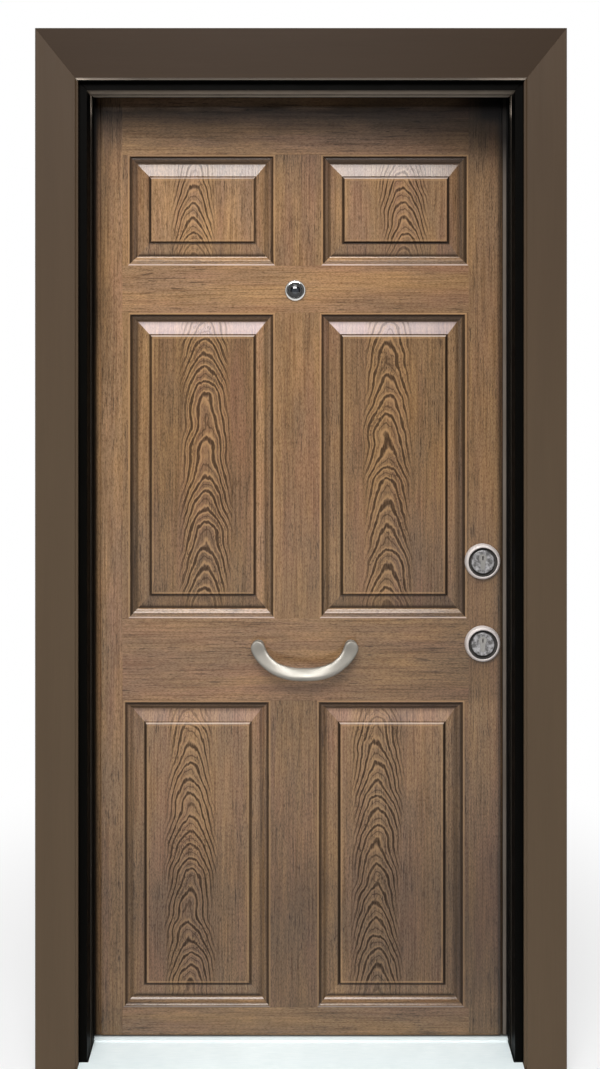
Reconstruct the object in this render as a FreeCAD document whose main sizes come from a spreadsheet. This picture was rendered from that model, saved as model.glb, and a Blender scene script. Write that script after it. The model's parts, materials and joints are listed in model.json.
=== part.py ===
import FreeCAD, Part
import math
import os
import re

import Sketcher
from FreeCAD import Placement, Rotation, Vector

# A steel security door with its frame: a leaf of pressed steel skins that opens inward, a folded
# steel frame, a three-sided casing, two locks, a bow handle, a door viewer and a lever inside.
# X runs along the width (the locks are on +X), Y from outside to inside, Z up.
# The origin is on the floor, in the middle of the leaf, in the plane of the leaf's outside face.

SIZES = [
    ("Frame, folded from sheet steel", [
        ("frame_sheet", 2.0, "thickness of the frame's sheet"),
        ("stop_half", 434.5, "half the clear width between the stops"),
        ("stop_top", 1999.5, "underside of the head stop, above the floor"),
        ("jamb_wide", 45.5, "from the stop out to the back of the jamb"),
        ("reveal_step", 20.0, "from the stop out to the front reveal"),
        ("stop_step", 2.0, "small fold in the stop's side"),
        ("rebate_step", 9.5, "from the stop out to the rebate"),
        ("frame_front", 80.0, "frame in front of the leaf face"),
        ("stop_front", 74.0, "front of the stop"),
        ("fold_front", 30.0, "small fold in the stop, in front of the leaf face"),
        ("seat_front", 9.0, "gasket seat, in front of the leaf face"),
        ("frame_back", 74.0, "frame behind the leaf face"),
        ("back_lip", 14.0, "lip turned forward at the back of the jamb"),
        ("mitre_over", 10.0, "how far a mitre cut runs past its corner"),
    ]),
    ("Casing on the outside", [
        ("casing_inset", 18.0, "casing's inner edge, out from the stop"),
        ("casing_wide", 84.0, "width of the side casings"),
        ("casing_tall", 105.0, "width of the head casing"),
        ("casing_edge", 20.0, "thickness at the outer edge"),
        ("casing_thin", 12.0, "thickness at the inner edge"),
        ("casing_sheet", 1.5, "thickness of the casing's sheet"),
        ("casing_round", 5.0, "rounding of the inner edge"),
        ("casing_bevel", 2.0, "broken outer edge"),
    ]),
    ("Threshold", [
        ("sill_top", 20.0, "top of the threshold"),
        ("sill_front", 100.0, "threshold in front of the leaf face"),
        ("sill_sheet", 2.0, "wall of the threshold"),
        ("sill_gap", 0.5, "gap to the jambs"),
        ("rib_high", 2.5, "water rib on the threshold"),
        ("rib_front", 15.0, "front of the water rib"),
        ("rib_wide", 8.0, "width of the water rib"),
    ]),
    ("Leaf", [
        ("leaf_half", 438.0, "half the leaf's width"),
        ("leaf_low", 26.0, "bottom of the leaf"),
        ("leaf_top", 2005.0, "top of the leaf"),
        ("leaf_thick", 65.0, "thickness of the leaf"),
        ("skin_half", 421.0, "half the width of a skin"),
        ("skin", 2.0, "thickness of a skin"),
        ("edge_sheet", 1.5, "sheet of the edge channels"),
        ("edge_lip", 15.0, "lip of an edge channel on the face"),
        ("edge_flange", 33.0, "flange that carries the skin"),
        ("channel_lip", 20.0, "lips of the top and bottom channels"),
        ("core_front", 11.0, "front of the core behind the pressed skin"),
        ("stiffener_x", 190.0, "stiffener off the middle"),
        ("stiffener_half", 25.0, "half a stiffener's width"),
        ("core_gap", 1.5, "gap beside a stiffener"),
        ("core_lock_side", 330.0, "lock side edge of the insulation"),
        ("core_hinge_side", 403.0, "hinge side edge of the insulation"),
    ]),
    ("Pressed panels of the outside skin", [
        ("panel_wide", 303.0, "width of a panel over its moulding"),
        ("border", 42.0, "width of the moulding and bevel"),
        ("top_panel_low", 1649.0, "bottom of the top row"),
        ("top_panel_tall", 229.0, "height of the top row"),
        ("top_left_x", -211.0, "middle of the top left panel"),
        ("top_right_x", 195.0, "middle of the top right panel"),
        ("middle_panel_low", 906.0, "bottom of the middle row"),
        ("middle_panel_tall", 639.0, "height of the middle row"),
        ("middle_left_x", -210.0, "middle of the middle left panel"),
        ("middle_right_x", 191.5, "middle of the middle right panel"),
        ("bottom_panel_low", 86.0, "bottom of the bottom row"),
        ("bottom_panel_tall", 642.0, "height of the bottom row"),
        ("bottom_left_x", -221.0, "middle of the bottom left panel"),
        ("bottom_right_x", 187.0, "middle of the bottom right panel"),
        ("field_depth", 0.6, "raised field below the stiles"),
    ]),
    ("Seals", [
        ("gasket_gap", 0.4, "gasket clear of the closed leaf"),
        ("gasket_inset", 0.5, "gasket out from the stop's edge"),
        ("gasket_wide", 8.0, "width of the frame gasket"),
        ("seal_gap", 0.5, "bottom seal clear of the threshold"),
        ("seal_half", 428.0, "half the length of the bottom seal"),
        ("seal_front", 20.0, "front of the bottom seal"),
        ("seal_wide", 8.0, "width of the bottom seal"),
    ]),
    ("Locks", [
        ("lock_x", 382.0, "lock cylinders off the middle"),
        ("upper_z", 1024.0, "middle of the upper rosette"),
        ("main_z", 851.0, "middle of the main rosette"),
        ("plug_rise", 8.0, "plug above the rosette's middle"),
        ("lever_z", 944.0, "axis of the lever"),
        ("case_back", 345.0, "back of the lock cases"),
        ("case_low_y", 22.5, "outer wall of the lock cases"),
        ("case_high_y", 42.5, "inner wall of the lock cases"),
        ("case_sheet", 1.5, "sheet of the lock cases"),
        ("upper_case_low", 990.0, "bottom of the upper case"),
        ("upper_case_top", 1068.0, "top of the upper case"),
        ("main_case_low", 780.0, "bottom of the main case"),
        ("main_case_top", 972.0, "top of the main case"),
        ("forend_thick", 3.0, "thickness of the forend"),
        ("forend_half", 12.0, "half the forend's width"),
        ("forend_over", 8.0, "forend past the case at each end"),
        ("bolt_radius", 8.0, "radius of a lock bolt"),
        ("bolt_fit", 0.08, "running clearance of a bolt"),
        ("bolt_pitch", 26.0, "spacing of the bolts"),
        ("bolt_back", 397.0, "back of the bolt carriage"),
        ("carriage", 4.0, "thickness of the bolt carriage"),
        ("bolt_inset", 0.5, "withdrawn bolts behind the forend"),
        ("upper_bolt_z", 1003.0, "lowest bolt of the upper lock"),
        ("main_bolt_z", 796.0, "lowest bolt of the main lock"),
        ("latch_half", 14.0, "half the latch's height"),
        ("latch_back", 404.0, "back of the latch head"),
        ("latch_out", 14.0, "latch beyond the forend"),
        ("latch_y", 25.0, "outer side of the latch"),
        ("latch_wide", 15.0, "thickness of the latch"),
        ("strike_sheet", 1.5, "thickness of a strike plate"),
        ("strike_over", 1.0, "clearance round bolts and latch in the frame"),
        ("screw_radius", 2.4, "radius of a strike screw"),
        ("screw_head", 4.5, "radius of a strike screw's head"),
        ("screw_cap", 1.2, "thickness of a strike screw's head"),
        ("screw_length", 16.0, "length of a strike screw"),
    ]),
    ("Lock cylinders and their rosettes", [
        ("euro_radius", 8.5, "round part of the cylinder"),
        ("euro_foot", 5.0, "radius of the cylinder's lower edge"),
        ("euro_drop", 19.5, "lower edge's middle under the plug"),
        ("euro_fit", 0.3, "clearance round the cylinder"),
        ("cylinder_out", 8.0, "cylinder in front of the leaf face"),
        ("cylinder_in", 73.0, "cylinder behind the leaf's outside face"),
        ("cam_low_y", 26.5, "start of the cam gap"),
        ("cam_high_y", 38.5, "end of the cam gap"),
        ("cam_reach", 13.0, "radius of the cam's finger"),
        ("bridge_drop", 14.0, "top of the bridge under the plug"),
        ("plug_radius", 6.5, "radius of a plug"),
        ("plug_fit", 0.05, "running clearance of a plug"),
        ("keyway_wide", 2.4, "width of the keyway"),
        ("keyway_tall", 8.6, "height of the keyway"),
        ("keyway_deep", 22.0, "depth of the keyway"),
        ("rosette_radius", 37.5, "outside radius of the outer rosette"),
        ("rosette_inner", 30.5, "inside radius of the rosette's ring"),
        ("rosette_high", 12.0, "outer rosette in front of the leaf"),
        ("disc_radius", 24.5, "disc inside the rosette"),
        ("disc_low", 3.0, "seat of the disc"),
        ("disc_high", 9.0, "face of the disc"),
        ("rosette_bore", 17.5, "hole through the rosette's base"),
        ("inside_rosette", 26.0, "radius of the inside rosettes"),
        ("inside_high", 7.0, "height of the inside rosettes"),
        ("knob_half", 15.0, "half the width of a thumbturn"),
        ("knob_out", 24.0, "thumbturn beyond the cylinder"),
    ]),
    ("Lever inside", [
        ("lever_radius", 9.5, "radius of the lever's bar"),
        ("lever_reach", 122.0, "length of the lever"),
        ("lever_y", 118.0, "axis of the bar behind the outside face"),
        ("spindle_half", 4.0, "half the square spindle"),
        ("spindle_fit", 0.1, "clearance round the spindle"),
        ("spindle_end", 100.0, "inner end of the spindle"),
        ("follower_radius", 9.0, "radius of the latch follower"),
        ("follower_arm", 18.0, "reach of the follower's arm"),
        ("arm_half", 3.0, "half the arm's width"),
        ("spring_radius", 3.6, "middle radius of the latch spring"),
        ("spring_wire", 0.5, "radius of the spring's wire"),
        ("spring_pitch", 5.2, "pitch of the spring"),
        ("neck_gap", 0.4, "lever's neck clear of its rosette"),
    ]),
    ("Bow handle outside", [
        ("bow_x", 6.0, "middle of the handle"),
        ("bow_z", 844.0, "height of the handle's feet"),
        ("bow_half", 96.0, "half the distance between the feet"),
        ("bow_drop", 42.0, "drop of the bow below its feet"),
        ("bow_out", 44.0, "bow beyond the feet"),
        ("foot_radius", 13.0, "radius of a foot"),
        ("foot_axis", 10.0, "bow's ends in front of the leaf"),
        ("bow_middle", 11.0, "half the bow's width in the middle"),
        ("bow_end", 14.0, "half the bow's width at the ends"),
        ("bow_thin", 0.72, "bow's thickness over its width"),
        ("bow_screw", 4.0, "radius of a handle screw"),
        ("bow_screw_fit", 0.2, "clearance round a handle screw"),
        ("bow_screw_in", 12.0, "screw into the foot"),
        ("bow_screw_head", 4.5, "height of a screw head"),
        ("backing", 4.0, "thickness of the backing plate"),
        ("backing_half", 15.0, "half the backing plate's height"),
        ("backing_over", 20.0, "backing plate past the screws"),
    ]),
    ("Door viewer", [
        ("viewer_x", -12.0, "viewer off the middle"),
        ("viewer_z", 1594.0, "height of the viewer"),
        ("bezel_radius", 22.5, "radius of the outside bezel"),
        ("lens_radius", 14.7, "radius of the lens"),
        ("lens_curve", 24.1, "radius of the lens's curved face"),
        ("lens_high", 10.0, "lens in front of the leaf face"),
        ("tube_radius", 8.0, "outside radius of the viewer tube"),
        ("tube_bore", 7.0, "inside radius of the viewer tube"),
        ("tube_end", 58.0, "end of the viewer tube"),
    ]),
    ("Hinges inside", [
        ("hinge_x", -445.0, "hinge axis off the middle"),
        ("hinge_y", 84.0, "hinge axis behind the outside face"),
        ("hinge_low_z", 250.0, "middle of the bottom hinge"),
        ("hinge_pitch", 765.0, "spacing of the hinges"),
        ("hinge_half", 50.0, "half the height of a hinge"),
        ("hinge_plate", 3.0, "thickness of a hinge plate"),
        ("hinge_web", 4.0, "thickness of a hinge web"),
        ("knuckle", 9.0, "radius of a knuckle"),
        ("knuckle_gap", 1.0, "half the gap between knuckles"),
        ("pin_radius", 5.0, "radius of a hinge pin"),
        ("pin_fit", 0.05, "clearance round a hinge pin"),
        ("pin_head", 7.5, "radius of a pin's head"),
        ("pin_head_tall", 4.0, "height of a pin's head"),
    ]),
    ("Lugs that fix the frame to the wall", [
        ("lug_reach", 50.0, "lug beyond the jamb"),
        ("lug_half", 20.0, "half the height of a lug"),
        ("lug_thick", 3.0, "thickness of a lug"),
        ("lug_y", 66.0, "lug behind the outside face"),
        ("lug_hole", 5.25, "radius of a lug's hole"),
        ("lug_hole_x", 30.0, "hole beyond the jamb"),
        ("lug_low_z", 300.0, "height of the lowest lugs"),
        ("lug_pitch", 750.0, "spacing of the lugs"),
    ]),
]

FUNCTIONS = ("sin", "cos", "tan", "sqrt")

document = FreeCAD.newDocument("steel_door")
sheet = document.addObject("Spreadsheet::Sheet", "sizes")
nodes = []


def fill_sheet():
    """Writes every size into the spreadsheet as a plain number with a word for its alias."""
    row = 1
    for title, rows in SIZES:
        sheet.set(f"A{row}", title)
        for alias, number, note in rows:
            row += 1
            sheet.set(f"A{row}", note)
            sheet.set(f"B{row}", str(number))
            sheet.setAlias(f"B{row}", alias)
        row += 2
    document.recompute()


def formula(text):
    """Turns a size written with bare aliases into an expression that reads the sheet."""
    def name(match):
        word = match.group(0)
        return word if word in FUNCTIONS else f"sizes.{word}"
    return re.sub(r"\b[a-z][a-z_]*\b", name, str(text))


def size(text):
    """The number that a size or a sum of sizes stands for."""
    return float(sheet.evalExpression(formula(text)))


def bind(item, prop, text):
    item.setExpression(prop, formula(text))


def node(item):
    """Lists a finished sub-part for the export."""
    nodes.append(item)
    return item


# ---- Part primitives and booleans ----

def block(label, low, high):
    """A block between two opposite corners."""
    made = document.addObject("Part::Box", label)
    for prop, start, end in zip(("Length", "Width", "Height"), low, high):
        bind(made, prop, f"({end}) - ({start})")
    for axis, start in zip("xyz", low):
        bind(made, f"Placement.Base.{axis}", start)
    return made


TURNS = {"x": Rotation(Vector(0, 1, 0), 90), "y": Rotation(Vector(1, 0, 0), -90), "z": Rotation()}


def rod(label, axis, radius, start, length):
    """A round bar that leaves its start point along an axis."""
    made = document.addObject("Part::Cylinder", label)
    bind(made, "Radius", radius)
    bind(made, "Height", length)
    made.Placement = Placement(Vector(), TURNS[axis])
    for name, text in zip("xyz", start):
        bind(made, f"Placement.Base.{name}", text)
    return made


def ball(label, radius, centre):
    made = document.addObject("Part::Sphere", label)
    bind(made, "Radius", radius)
    for name, text in zip("xyz", centre):
        bind(made, f"Placement.Base.{name}", text)
    return made


def fuse(label, *items):
    made = document.addObject("Part::MultiFuse", label)
    made.Shapes = list(items)
    made.Refine = True
    return made


def common(label, first, second):
    made = document.addObject("Part::Common", label)
    made.Base = first
    made.Tool = second
    return made


def group(label, *items):
    """Separate solids that share one name, such as a set of screws."""
    made = document.addObject("Part::Compound", label)
    made.Links = list(items)
    return made


def cut(label, base, *tools):
    made = document.addObject("Part::Cut", label)
    made.Base = base
    made.Tool = tools[0] if len(tools) == 1 else fuse(f"{label}_tools", *tools)
    return made


# ---- PartDesign bodies ----

def body(label, place=("0", "0", "0")):
    made = document.addObject("PartDesign::Body", label)
    for name, text in zip("xyz", place):
        bind(made, f"Placement.Base.{name}", text)
    return made


def empty_sketch(owner, name, role, distance):
    """A sketch on one of its own body's origin planes, moved along the plane's normal."""
    sketch = owner.newObject("Sketcher::SketchObject", name)
    plane = next(item for item in owner.Origin.OriginFeatures if item.Role == role)
    sketch.AttachmentSupport = [(plane, "")]
    sketch.MapMode = "FlatFace"
    bind(sketch, "AttachmentOffset.Base.z", distance)
    return sketch


def place_point(sketch, geometry, point, corner):
    """Ties one point of a sketch to two sizes."""
    for kind, text in zip(("DistanceX", "DistanceY"), corner):
        rule = Sketcher.Constraint(kind, -1, 1, geometry, point, size(text))
        bind(sketch, f"Constraints[{sketch.addConstraint(rule)}]", text)


def outline(owner, name, role, corners, distance="0", arcs=None, closed=True):
    """A sketch of straight sides between corners; arcs gives some sides a bulge to their left."""
    arcs = arcs or {}
    sketch = empty_sketch(owner, name, role, distance)
    points = [Vector(size(u), size(v), 0) for u, v in corners]
    sides = len(points) if closed else len(points) - 1
    ends = []
    for side in range(sides):
        start = points[side]
        end = points[(side + 1) % len(points)]
        bulge = arcs.get(side, 0)
        if bulge:
            across = Vector(start.y - end.y, end.x - start.x, 0).normalize()
            peak = (start + end) * 0.5 + across * bulge
            arc = Part.Arc(end, peak, start) if bulge > 0 else Part.Arc(start, peak, end)
            geometry = sketch.addGeometry(arc, False)
            radius = sketch.Geometry[geometry].Radius
            sketch.addConstraint(Sketcher.Constraint("Radius", geometry, radius))
            ends.append((geometry, 2, 1) if bulge > 0 else (geometry, 1, 2))
        else:
            ends.append((sketch.addGeometry(Part.LineSegment(start, end), False), 1, 2))
    for here, after in zip(ends, ends[1:] + ends[:1] if closed else ends[1:]):
        sketch.addConstraint(Sketcher.Constraint("Coincident", here[0], here[2], after[0], after[1]))
    for (geometry, first, _), corner in zip(ends, corners):
        place_point(sketch, geometry, first, corner)
    if not closed:
        place_point(sketch, ends[-1][0], ends[-1][2], corners[-1])
    return sketch


def circles(owner, name, role, centres, radius, distance):
    """A sketch of equal circles."""
    sketch = empty_sketch(owner, name, role, distance)
    for centre in centres:
        middle = Vector(size(centre[0]), size(centre[1]), 0)
        circle = Part.Circle(middle, Vector(0, 0, 1), size(radius))
        geometry = sketch.addGeometry(circle, False)
        place_point(sketch, geometry, 3, centre)
        rule = Sketcher.Constraint("Radius", geometry, size(radius))
        bind(sketch, f"Constraints[{sketch.addConstraint(rule)}]", radius)
    return sketch


def run_of(role, low, high, cutting):
    """Where a sketch stands so that its pad or pocket runs from low to high."""
    if role == "XZ_Plane":
        return f"-({low})" if cutting else f"-({high})"
    return high if cutting else low


def extrude(owner, name, kind, sketch, low, high):
    feature = owner.newObject(kind, name)
    feature.Profile = sketch
    bind(feature, "Length", f"({high}) - ({low})")
    sketch.Visibility = False
    return feature


def pad(owner, name, role, corners, low, high, arcs=None):
    where = run_of(role, low, high, False)
    sketch = outline(owner, f"{name}_sketch", role, corners, where, arcs)
    return extrude(owner, name, "PartDesign::Pad", sketch, low, high)


def pocket(owner, name, role, corners, low, high):
    where = run_of(role, low, high, True)
    sketch = outline(owner, f"{name}_sketch", role, corners, where)
    return extrude(owner, name, "PartDesign::Pocket", sketch, low, high)


def drill(owner, name, role, centres, radius, low, high):
    where = run_of(role, low, high, True)
    sketch = circles(owner, f"{name}_sketch", role, centres, radius, where)
    return extrude(owner, name, "PartDesign::Pocket", sketch, low, high)


def turned(label, corners, place, arcs=None):
    """A turned piece: corners are (y, radius) round an axis along Y."""
    owner = body(label, place)
    sketch = outline(owner, f"{label}_profile", "YZ_Plane", corners, "0", arcs)
    feature = owner.newObject("PartDesign::Revolution", f"{label}_turn")
    feature.Profile = sketch
    feature.ReferenceAxis = (sketch, ["H_Axis"])
    feature.Angle = 360
    return owner


def rectangle(left, low, right, top):
    return [(left, low), (right, low), (right, top), (left, top)]


def signed(side, corners):
    """Mirrors corners to one side of the door: side is 1 or -1."""
    return [(f"{side} * ({u})", v) for u, v in corners]


# ---- Frame ----

FRAME_OUT = "stop_half + jamb_wide"
FRAME_TOP = "stop_top + jamb_wide"

# The folded section as (out from the stop, behind the leaf face), first the faces, then the inside.
FRAME_SECTION = [
    ("jamb_wide", "-frame_front"),
    ("reveal_step", "-frame_front"),
    ("reveal_step", "-stop_front"),
    ("stop_step", "-stop_front"),
    ("stop_step", "-fold_front"),
    ("0", "-fold_front"),
    ("0", "-seat_front"),
    ("rebate_step", "-seat_front"),
    ("rebate_step", "frame_back"),
    ("jamb_wide", "frame_back"),
    ("jamb_wide", "frame_back - back_lip"),
    ("jamb_wide - frame_sheet", "frame_back - back_lip"),
    ("jamb_wide - frame_sheet", "frame_back - frame_sheet"),
    ("rebate_step + frame_sheet", "frame_back - frame_sheet"),
    ("rebate_step + frame_sheet", "-seat_front - frame_sheet"),
    ("frame_sheet", "-seat_front - frame_sheet"),
    ("frame_sheet", "-fold_front + frame_sheet"),
    ("stop_step + frame_sheet", "-fold_front + frame_sheet"),
    ("stop_step + frame_sheet", "-stop_front + frame_sheet"),
    ("reveal_step + frame_sheet", "-stop_front + frame_sheet"),
    ("reveal_step + frame_sheet", "-frame_front + frame_sheet"),
    ("jamb_wide", "-frame_front + frame_sheet"),
]

# The casing's section as (share of its width plus a length, behind the leaf face).
CASING_SECTION = [
    ("0", "0", "-frame_front"),
    ("0", "0", "-frame_front - casing_thin + casing_round"),
    ("0", "casing_round", "-frame_front - casing_thin"),
    ("1", "-casing_bevel", "-frame_front - casing_edge"),
    ("1", "0", "-frame_front - casing_edge + casing_bevel"),
    ("1", "0", "-frame_front"),
    ("1", "-casing_sheet", "-frame_front"),
    ("1", "-casing_sheet", "-frame_front - casing_edge + casing_bevel + casing_sheet"),
    ("0", "casing_round + casing_sheet", "-frame_front - casing_thin + casing_sheet"),
    ("0", "casing_sheet", "-frame_front - casing_thin + casing_round + casing_sheet"),
    ("0", "casing_sheet", "-frame_front"),
]
CASING_ROUND_SIDE = 1


def mitre(owner, side, inner, outer, keep_below):
    """Cuts a corner along the line from its inner to its outer corner."""
    (x_in, z_in), (x_out, z_out) = inner, outer
    slope = f"(({z_out}) - ({z_in})) / (({x_out}) - ({x_in}))"
    low = (f"{x_in} - mitre_over", f"{z_in} - mitre_over * {slope}")
    high = (f"{x_out} + mitre_over", f"{z_out} + mitre_over * {slope}")
    third = (low[0], high[1]) if keep_below else (high[0], low[1])
    name = f"{owner.Label}_mitre_{'right' if side == 1 else 'left'}"
    pocket(owner, name, "XZ_Plane", signed(side, [low, high, third]), "-sill_front - 10", "frame_back + 10")


def frame_jamb(label, side):
    owner = body(label)
    corners = [(f"stop_half + {u}", v) for u, v in FRAME_SECTION]
    pad(owner, f"{label}_fold", "XY_Plane", signed(side, corners), "0", FRAME_TOP)
    mitre(owner, side, ("stop_half", "stop_top"), (FRAME_OUT, FRAME_TOP), True)
    return owner


def frame_head():
    owner = body("frame_head")
    corners = [(v, f"stop_top + {u}") for u, v in FRAME_SECTION]
    pad(owner, "head_fold", "YZ_Plane", corners, f"-({FRAME_OUT})", FRAME_OUT)
    for side in (1, -1):
        mitre(owner, side, ("stop_half", "stop_top"), (FRAME_OUT, FRAME_TOP), False)
    return owner


CASING_IN = "stop_half + casing_inset"
CASING_LOW = "stop_top + casing_inset"
CASING_CORNERS = (
    (CASING_IN, CASING_LOW),
    (f"{CASING_IN} + casing_wide", f"{CASING_LOW} + casing_tall"),
)


def casing_round(turn):
    """The rounded inner edge of the casing, bulging outwards."""
    return {CASING_ROUND_SIDE: turn * size("casing_round") * (1 - math.sqrt(0.5))}


def casing_side(label, side):
    owner = body(label)
    corners = [(f"{CASING_IN} + {share} * casing_wide + {out}", v) for share, out, v in CASING_SECTION]
    top = f"{CASING_LOW} + casing_tall"
    pad(owner, f"{label}_fold", "XY_Plane", signed(side, corners), "0", top, casing_round(side))
    mitre(owner, side, *CASING_CORNERS, True)
    return owner


def casing_head():
    owner = body("casing_head")
    corners = [(v, f"{CASING_LOW} + {share} * casing_tall + {out}") for share, out, v in CASING_SECTION]
    out = CASING_CORNERS[1][0]
    pad(owner, "casing_head_fold", "YZ_Plane", corners, f"-({out})", out, casing_round(-1))
    for side in (1, -1):
        mitre(owner, side, *CASING_CORNERS, False)
    return owner


def threshold():
    """A closed tube that fits between the casings, the stops and the rebates."""
    owner = body("threshold")
    wide = "stop_half + casing_inset - sill_gap"
    tube = rectangle("-sill_front", "0", "frame_back", "sill_top")
    hollow = rectangle("-sill_front + sill_sheet", "sill_sheet", "frame_back - sill_sheet", "sill_top - sill_sheet")
    pad(owner, "threshold_tube", "YZ_Plane", tube, f"-({wide})", wide)
    pocket(owner, "threshold_hollow", "YZ_Plane", hollow, f"-({wide})", wide)
    at_stop = ("stop_half - sill_gap", "-stop_front - sill_gap", "-seat_front + sill_gap")
    at_rebate = ("stop_half + rebate_step - sill_gap", "-seat_front + sill_gap", "frame_back")
    for side in (1, -1):
        for name, (x_in, y_low, y_high) in (("stop", at_stop), ("rebate", at_rebate)):
            corners = signed(side, rectangle(x_in, y_low, "stop_half + jamb_wide", y_high))
            notch = f"threshold_{name}_{'right' if side == 1 else 'left'}"
            pocket(owner, notch, "XY_Plane", corners, "0", "sill_top")
    rib = [
        ("-rib_front", "sill_top"),
        ("-rib_front + rib_high", "sill_top + rib_high"),
        ("-rib_front + rib_wide - rib_high", "sill_top + rib_high"),
        ("-rib_front + rib_wide", "sill_top"),
    ]
    pad(owner, "threshold_rib", "YZ_Plane", rib, "-stop_half + 2", "stop_half - 2")
    return owner


def frame_gasket():
    """One rubber strip, up one jamb, across the head and down the other."""
    inner = "stop_half + gasket_inset"
    outer = "stop_half + gasket_inset + gasket_wide"
    under = "stop_top + gasket_inset"
    over = "stop_top + gasket_inset + gasket_wide"
    left = block("gasket_left", (f"-({outer})", "-seat_front", "sill_top"), (f"-({inner})", "-gasket_gap", over))
    right = block("gasket_right", (inner, "-seat_front", "sill_top"), (outer, "-gasket_gap", over))
    top = block("gasket_top", (f"-({outer})", "-seat_front", under), (outer, "-gasket_gap", over))
    return fuse("frame_gasket", left, right, top)


def wall_lugs():
    """Six welded straps, each with a hole for a wall anchor."""
    lugs = []
    for side in (1, -1):
        for row in range(3):
            name = f"lug_{'right' if side == 1 else 'left'}_{row + 1}"
            middle = f"lug_low_z + {row} * lug_pitch"
            ends = sorted((f"{side} * ({FRAME_OUT})", f"{side} * ({FRAME_OUT} + lug_reach)"), key=size)
            low = (ends[0], "lug_y", f"{middle} - lug_half")
            high = (ends[1], "lug_y + lug_thick", f"{middle} + lug_half")
            strap = block(f"{name}_strap", low, high)
            where = (f"{side} * ({FRAME_OUT} + lug_hole_x)", "lug_y - 1", middle)
            hole = rod(f"{name}_hole", "y", "lug_hole", where, "lug_thick + 2")
            lugs.append(cut(name, strap, hole))
    return group("wall_lugs", *lugs)


# ---- Locks: what the frame and the leaf share ----

LOCKS = {
    "upper": {"centre": "upper_z", "first": "upper_bolt_z", "bolts": 3,
              "low": "upper_case_low", "top": "upper_case_top", "latch": False},
    "main": {"centre": "main_z", "first": "main_bolt_z", "bolts": 4,
             "low": "main_case_low", "top": "main_case_top", "latch": True},
}
FOREND_Y = ("(case_low_y + case_high_y) / 2 - forend_half", "(case_low_y + case_high_y) / 2 + forend_half")
BOLT_Y = "(case_low_y + case_high_y) / 2"
REBATE_X = "stop_half + rebate_step"


def bolt_heights(lock):
    return [f"{lock['first']} + {count} * bolt_pitch" for count in range(lock["bolts"])]


def latch_window(clear):
    """The opening for the latch in a plate across its path."""
    return rectangle(
        f"latch_y - ({clear})", f"lever_z - latch_half - ({clear})",
        f"latch_y + latch_wide + ({clear})", f"lever_z + latch_half + ({clear})")


def forend_ends(lock):
    return f"{lock['low']} - forend_over", f"{lock['top']} + forend_over"


def screw_heights(lock):
    low, top = forend_ends(lock)
    return [f"{low} + 7", f"{top} - 7"]


def open_for_lock(owner, name, lock, low, high, clear):
    """Cuts the bolt holes and the latch window through a wall that crosses their path."""
    centres = [(BOLT_Y, height) for height in bolt_heights(lock)]
    drill(owner, f"{name}_bolt_holes", "YZ_Plane", centres, f"bolt_radius + {clear}", low, high)
    if lock["latch"]:
        pocket(owner, f"{name}_latch_window", "YZ_Plane", latch_window(clear), low, high)


def open_lock_jamb(owner):
    """Gives the lock jamb its bolt pockets and the holes for the strike screws."""
    wall = (f"{REBATE_X} - 1", f"{REBATE_X} + frame_sheet + 1")
    for name, lock in LOCKS.items():
        open_for_lock(owner, f"{name}_jamb", lock, *wall, "strike_over")
        centres = [(BOLT_Y, height) for height in screw_heights(lock)]
        drill(owner, f"{name}_jamb_screws", "YZ_Plane", centres, "screw_radius + 0.1", *wall)


def strike_plate(name, lock):
    label = f"{name}_strike_plate"
    owner = body(label)
    low, top = forend_ends(lock)
    face = (f"{REBATE_X} - strike_sheet", REBATE_X)
    pad(owner, f"{label}_sheet", "YZ_Plane", rectangle(FOREND_Y[0], low, FOREND_Y[1], top), *face)
    open_for_lock(owner, label, lock, *face, "strike_over / 2")
    centres = [(BOLT_Y, height) for height in screw_heights(lock)]
    drill(owner, f"{label}_screw_holes", "YZ_Plane", centres, "screw_radius + 0.1", *face)
    return owner


def strike_screws():
    screws = []
    for name, lock in LOCKS.items():
        for count, height in enumerate(screw_heights(lock), 1):
            label = f"{name}_strike_screw_{count}"
            start = (f"{REBATE_X} - strike_sheet - screw_cap", BOLT_Y, height)
            head = rod(f"{label}_head", "x", "screw_head", start, "screw_cap")
            shank = rod(f"{label}_shank", "x", "screw_radius", start, "screw_length")
            screws.append(fuse(label, head, shank))
    return group("strike_screws", *screws)


# ---- Hinges ----

HINGES = ("bottom", "middle", "top")


def hinge_middle(count):
    return f"hinge_low_z + {count} * hinge_pitch"


def hinge_half(label, plate_x, plate_y, web_x, low, high, middle, clear):
    """One half of a barrel hinge: a screwed plate, a web and a bored knuckle."""
    plate = block(f"{label}_plate",
                  (plate_x[0], plate_y, f"{middle} - hinge_half"),
                  (plate_x[1], f"{plate_y} + hinge_plate", f"{middle} + hinge_half"))
    web = block(f"{label}_web", (web_x[0], plate_y, low), (web_x[1], "hinge_y", high))
    barrel = rod(f"{label}_knuckle", "z", "knuckle", ("hinge_x", "hinge_y", low), f"({high}) - ({low})")
    solid = fuse(f"{label}_solid", plate, web, barrel)
    start = ("hinge_x", "hinge_y", f"{low} - 1")
    bore = rod(f"{label}_bore", "z", f"pin_radius + {clear}", start, f"({high}) - ({low}) + 2")
    return cut(label, solid, bore)


def hinge_frame_plate(name, count):
    middle = hinge_middle(count)
    plate = (f"-({FRAME_OUT}) + 1", "hinge_x - knuckle + 2")
    web = ("hinge_x - knuckle", "hinge_x - knuckle + hinge_web")
    return hinge_half(f"hinge_frame_plate_{name}", plate, "frame_back", web,
                      f"{middle} - hinge_half", f"{middle} - knuckle_gap", middle, "pin_fit / 2")


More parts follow.
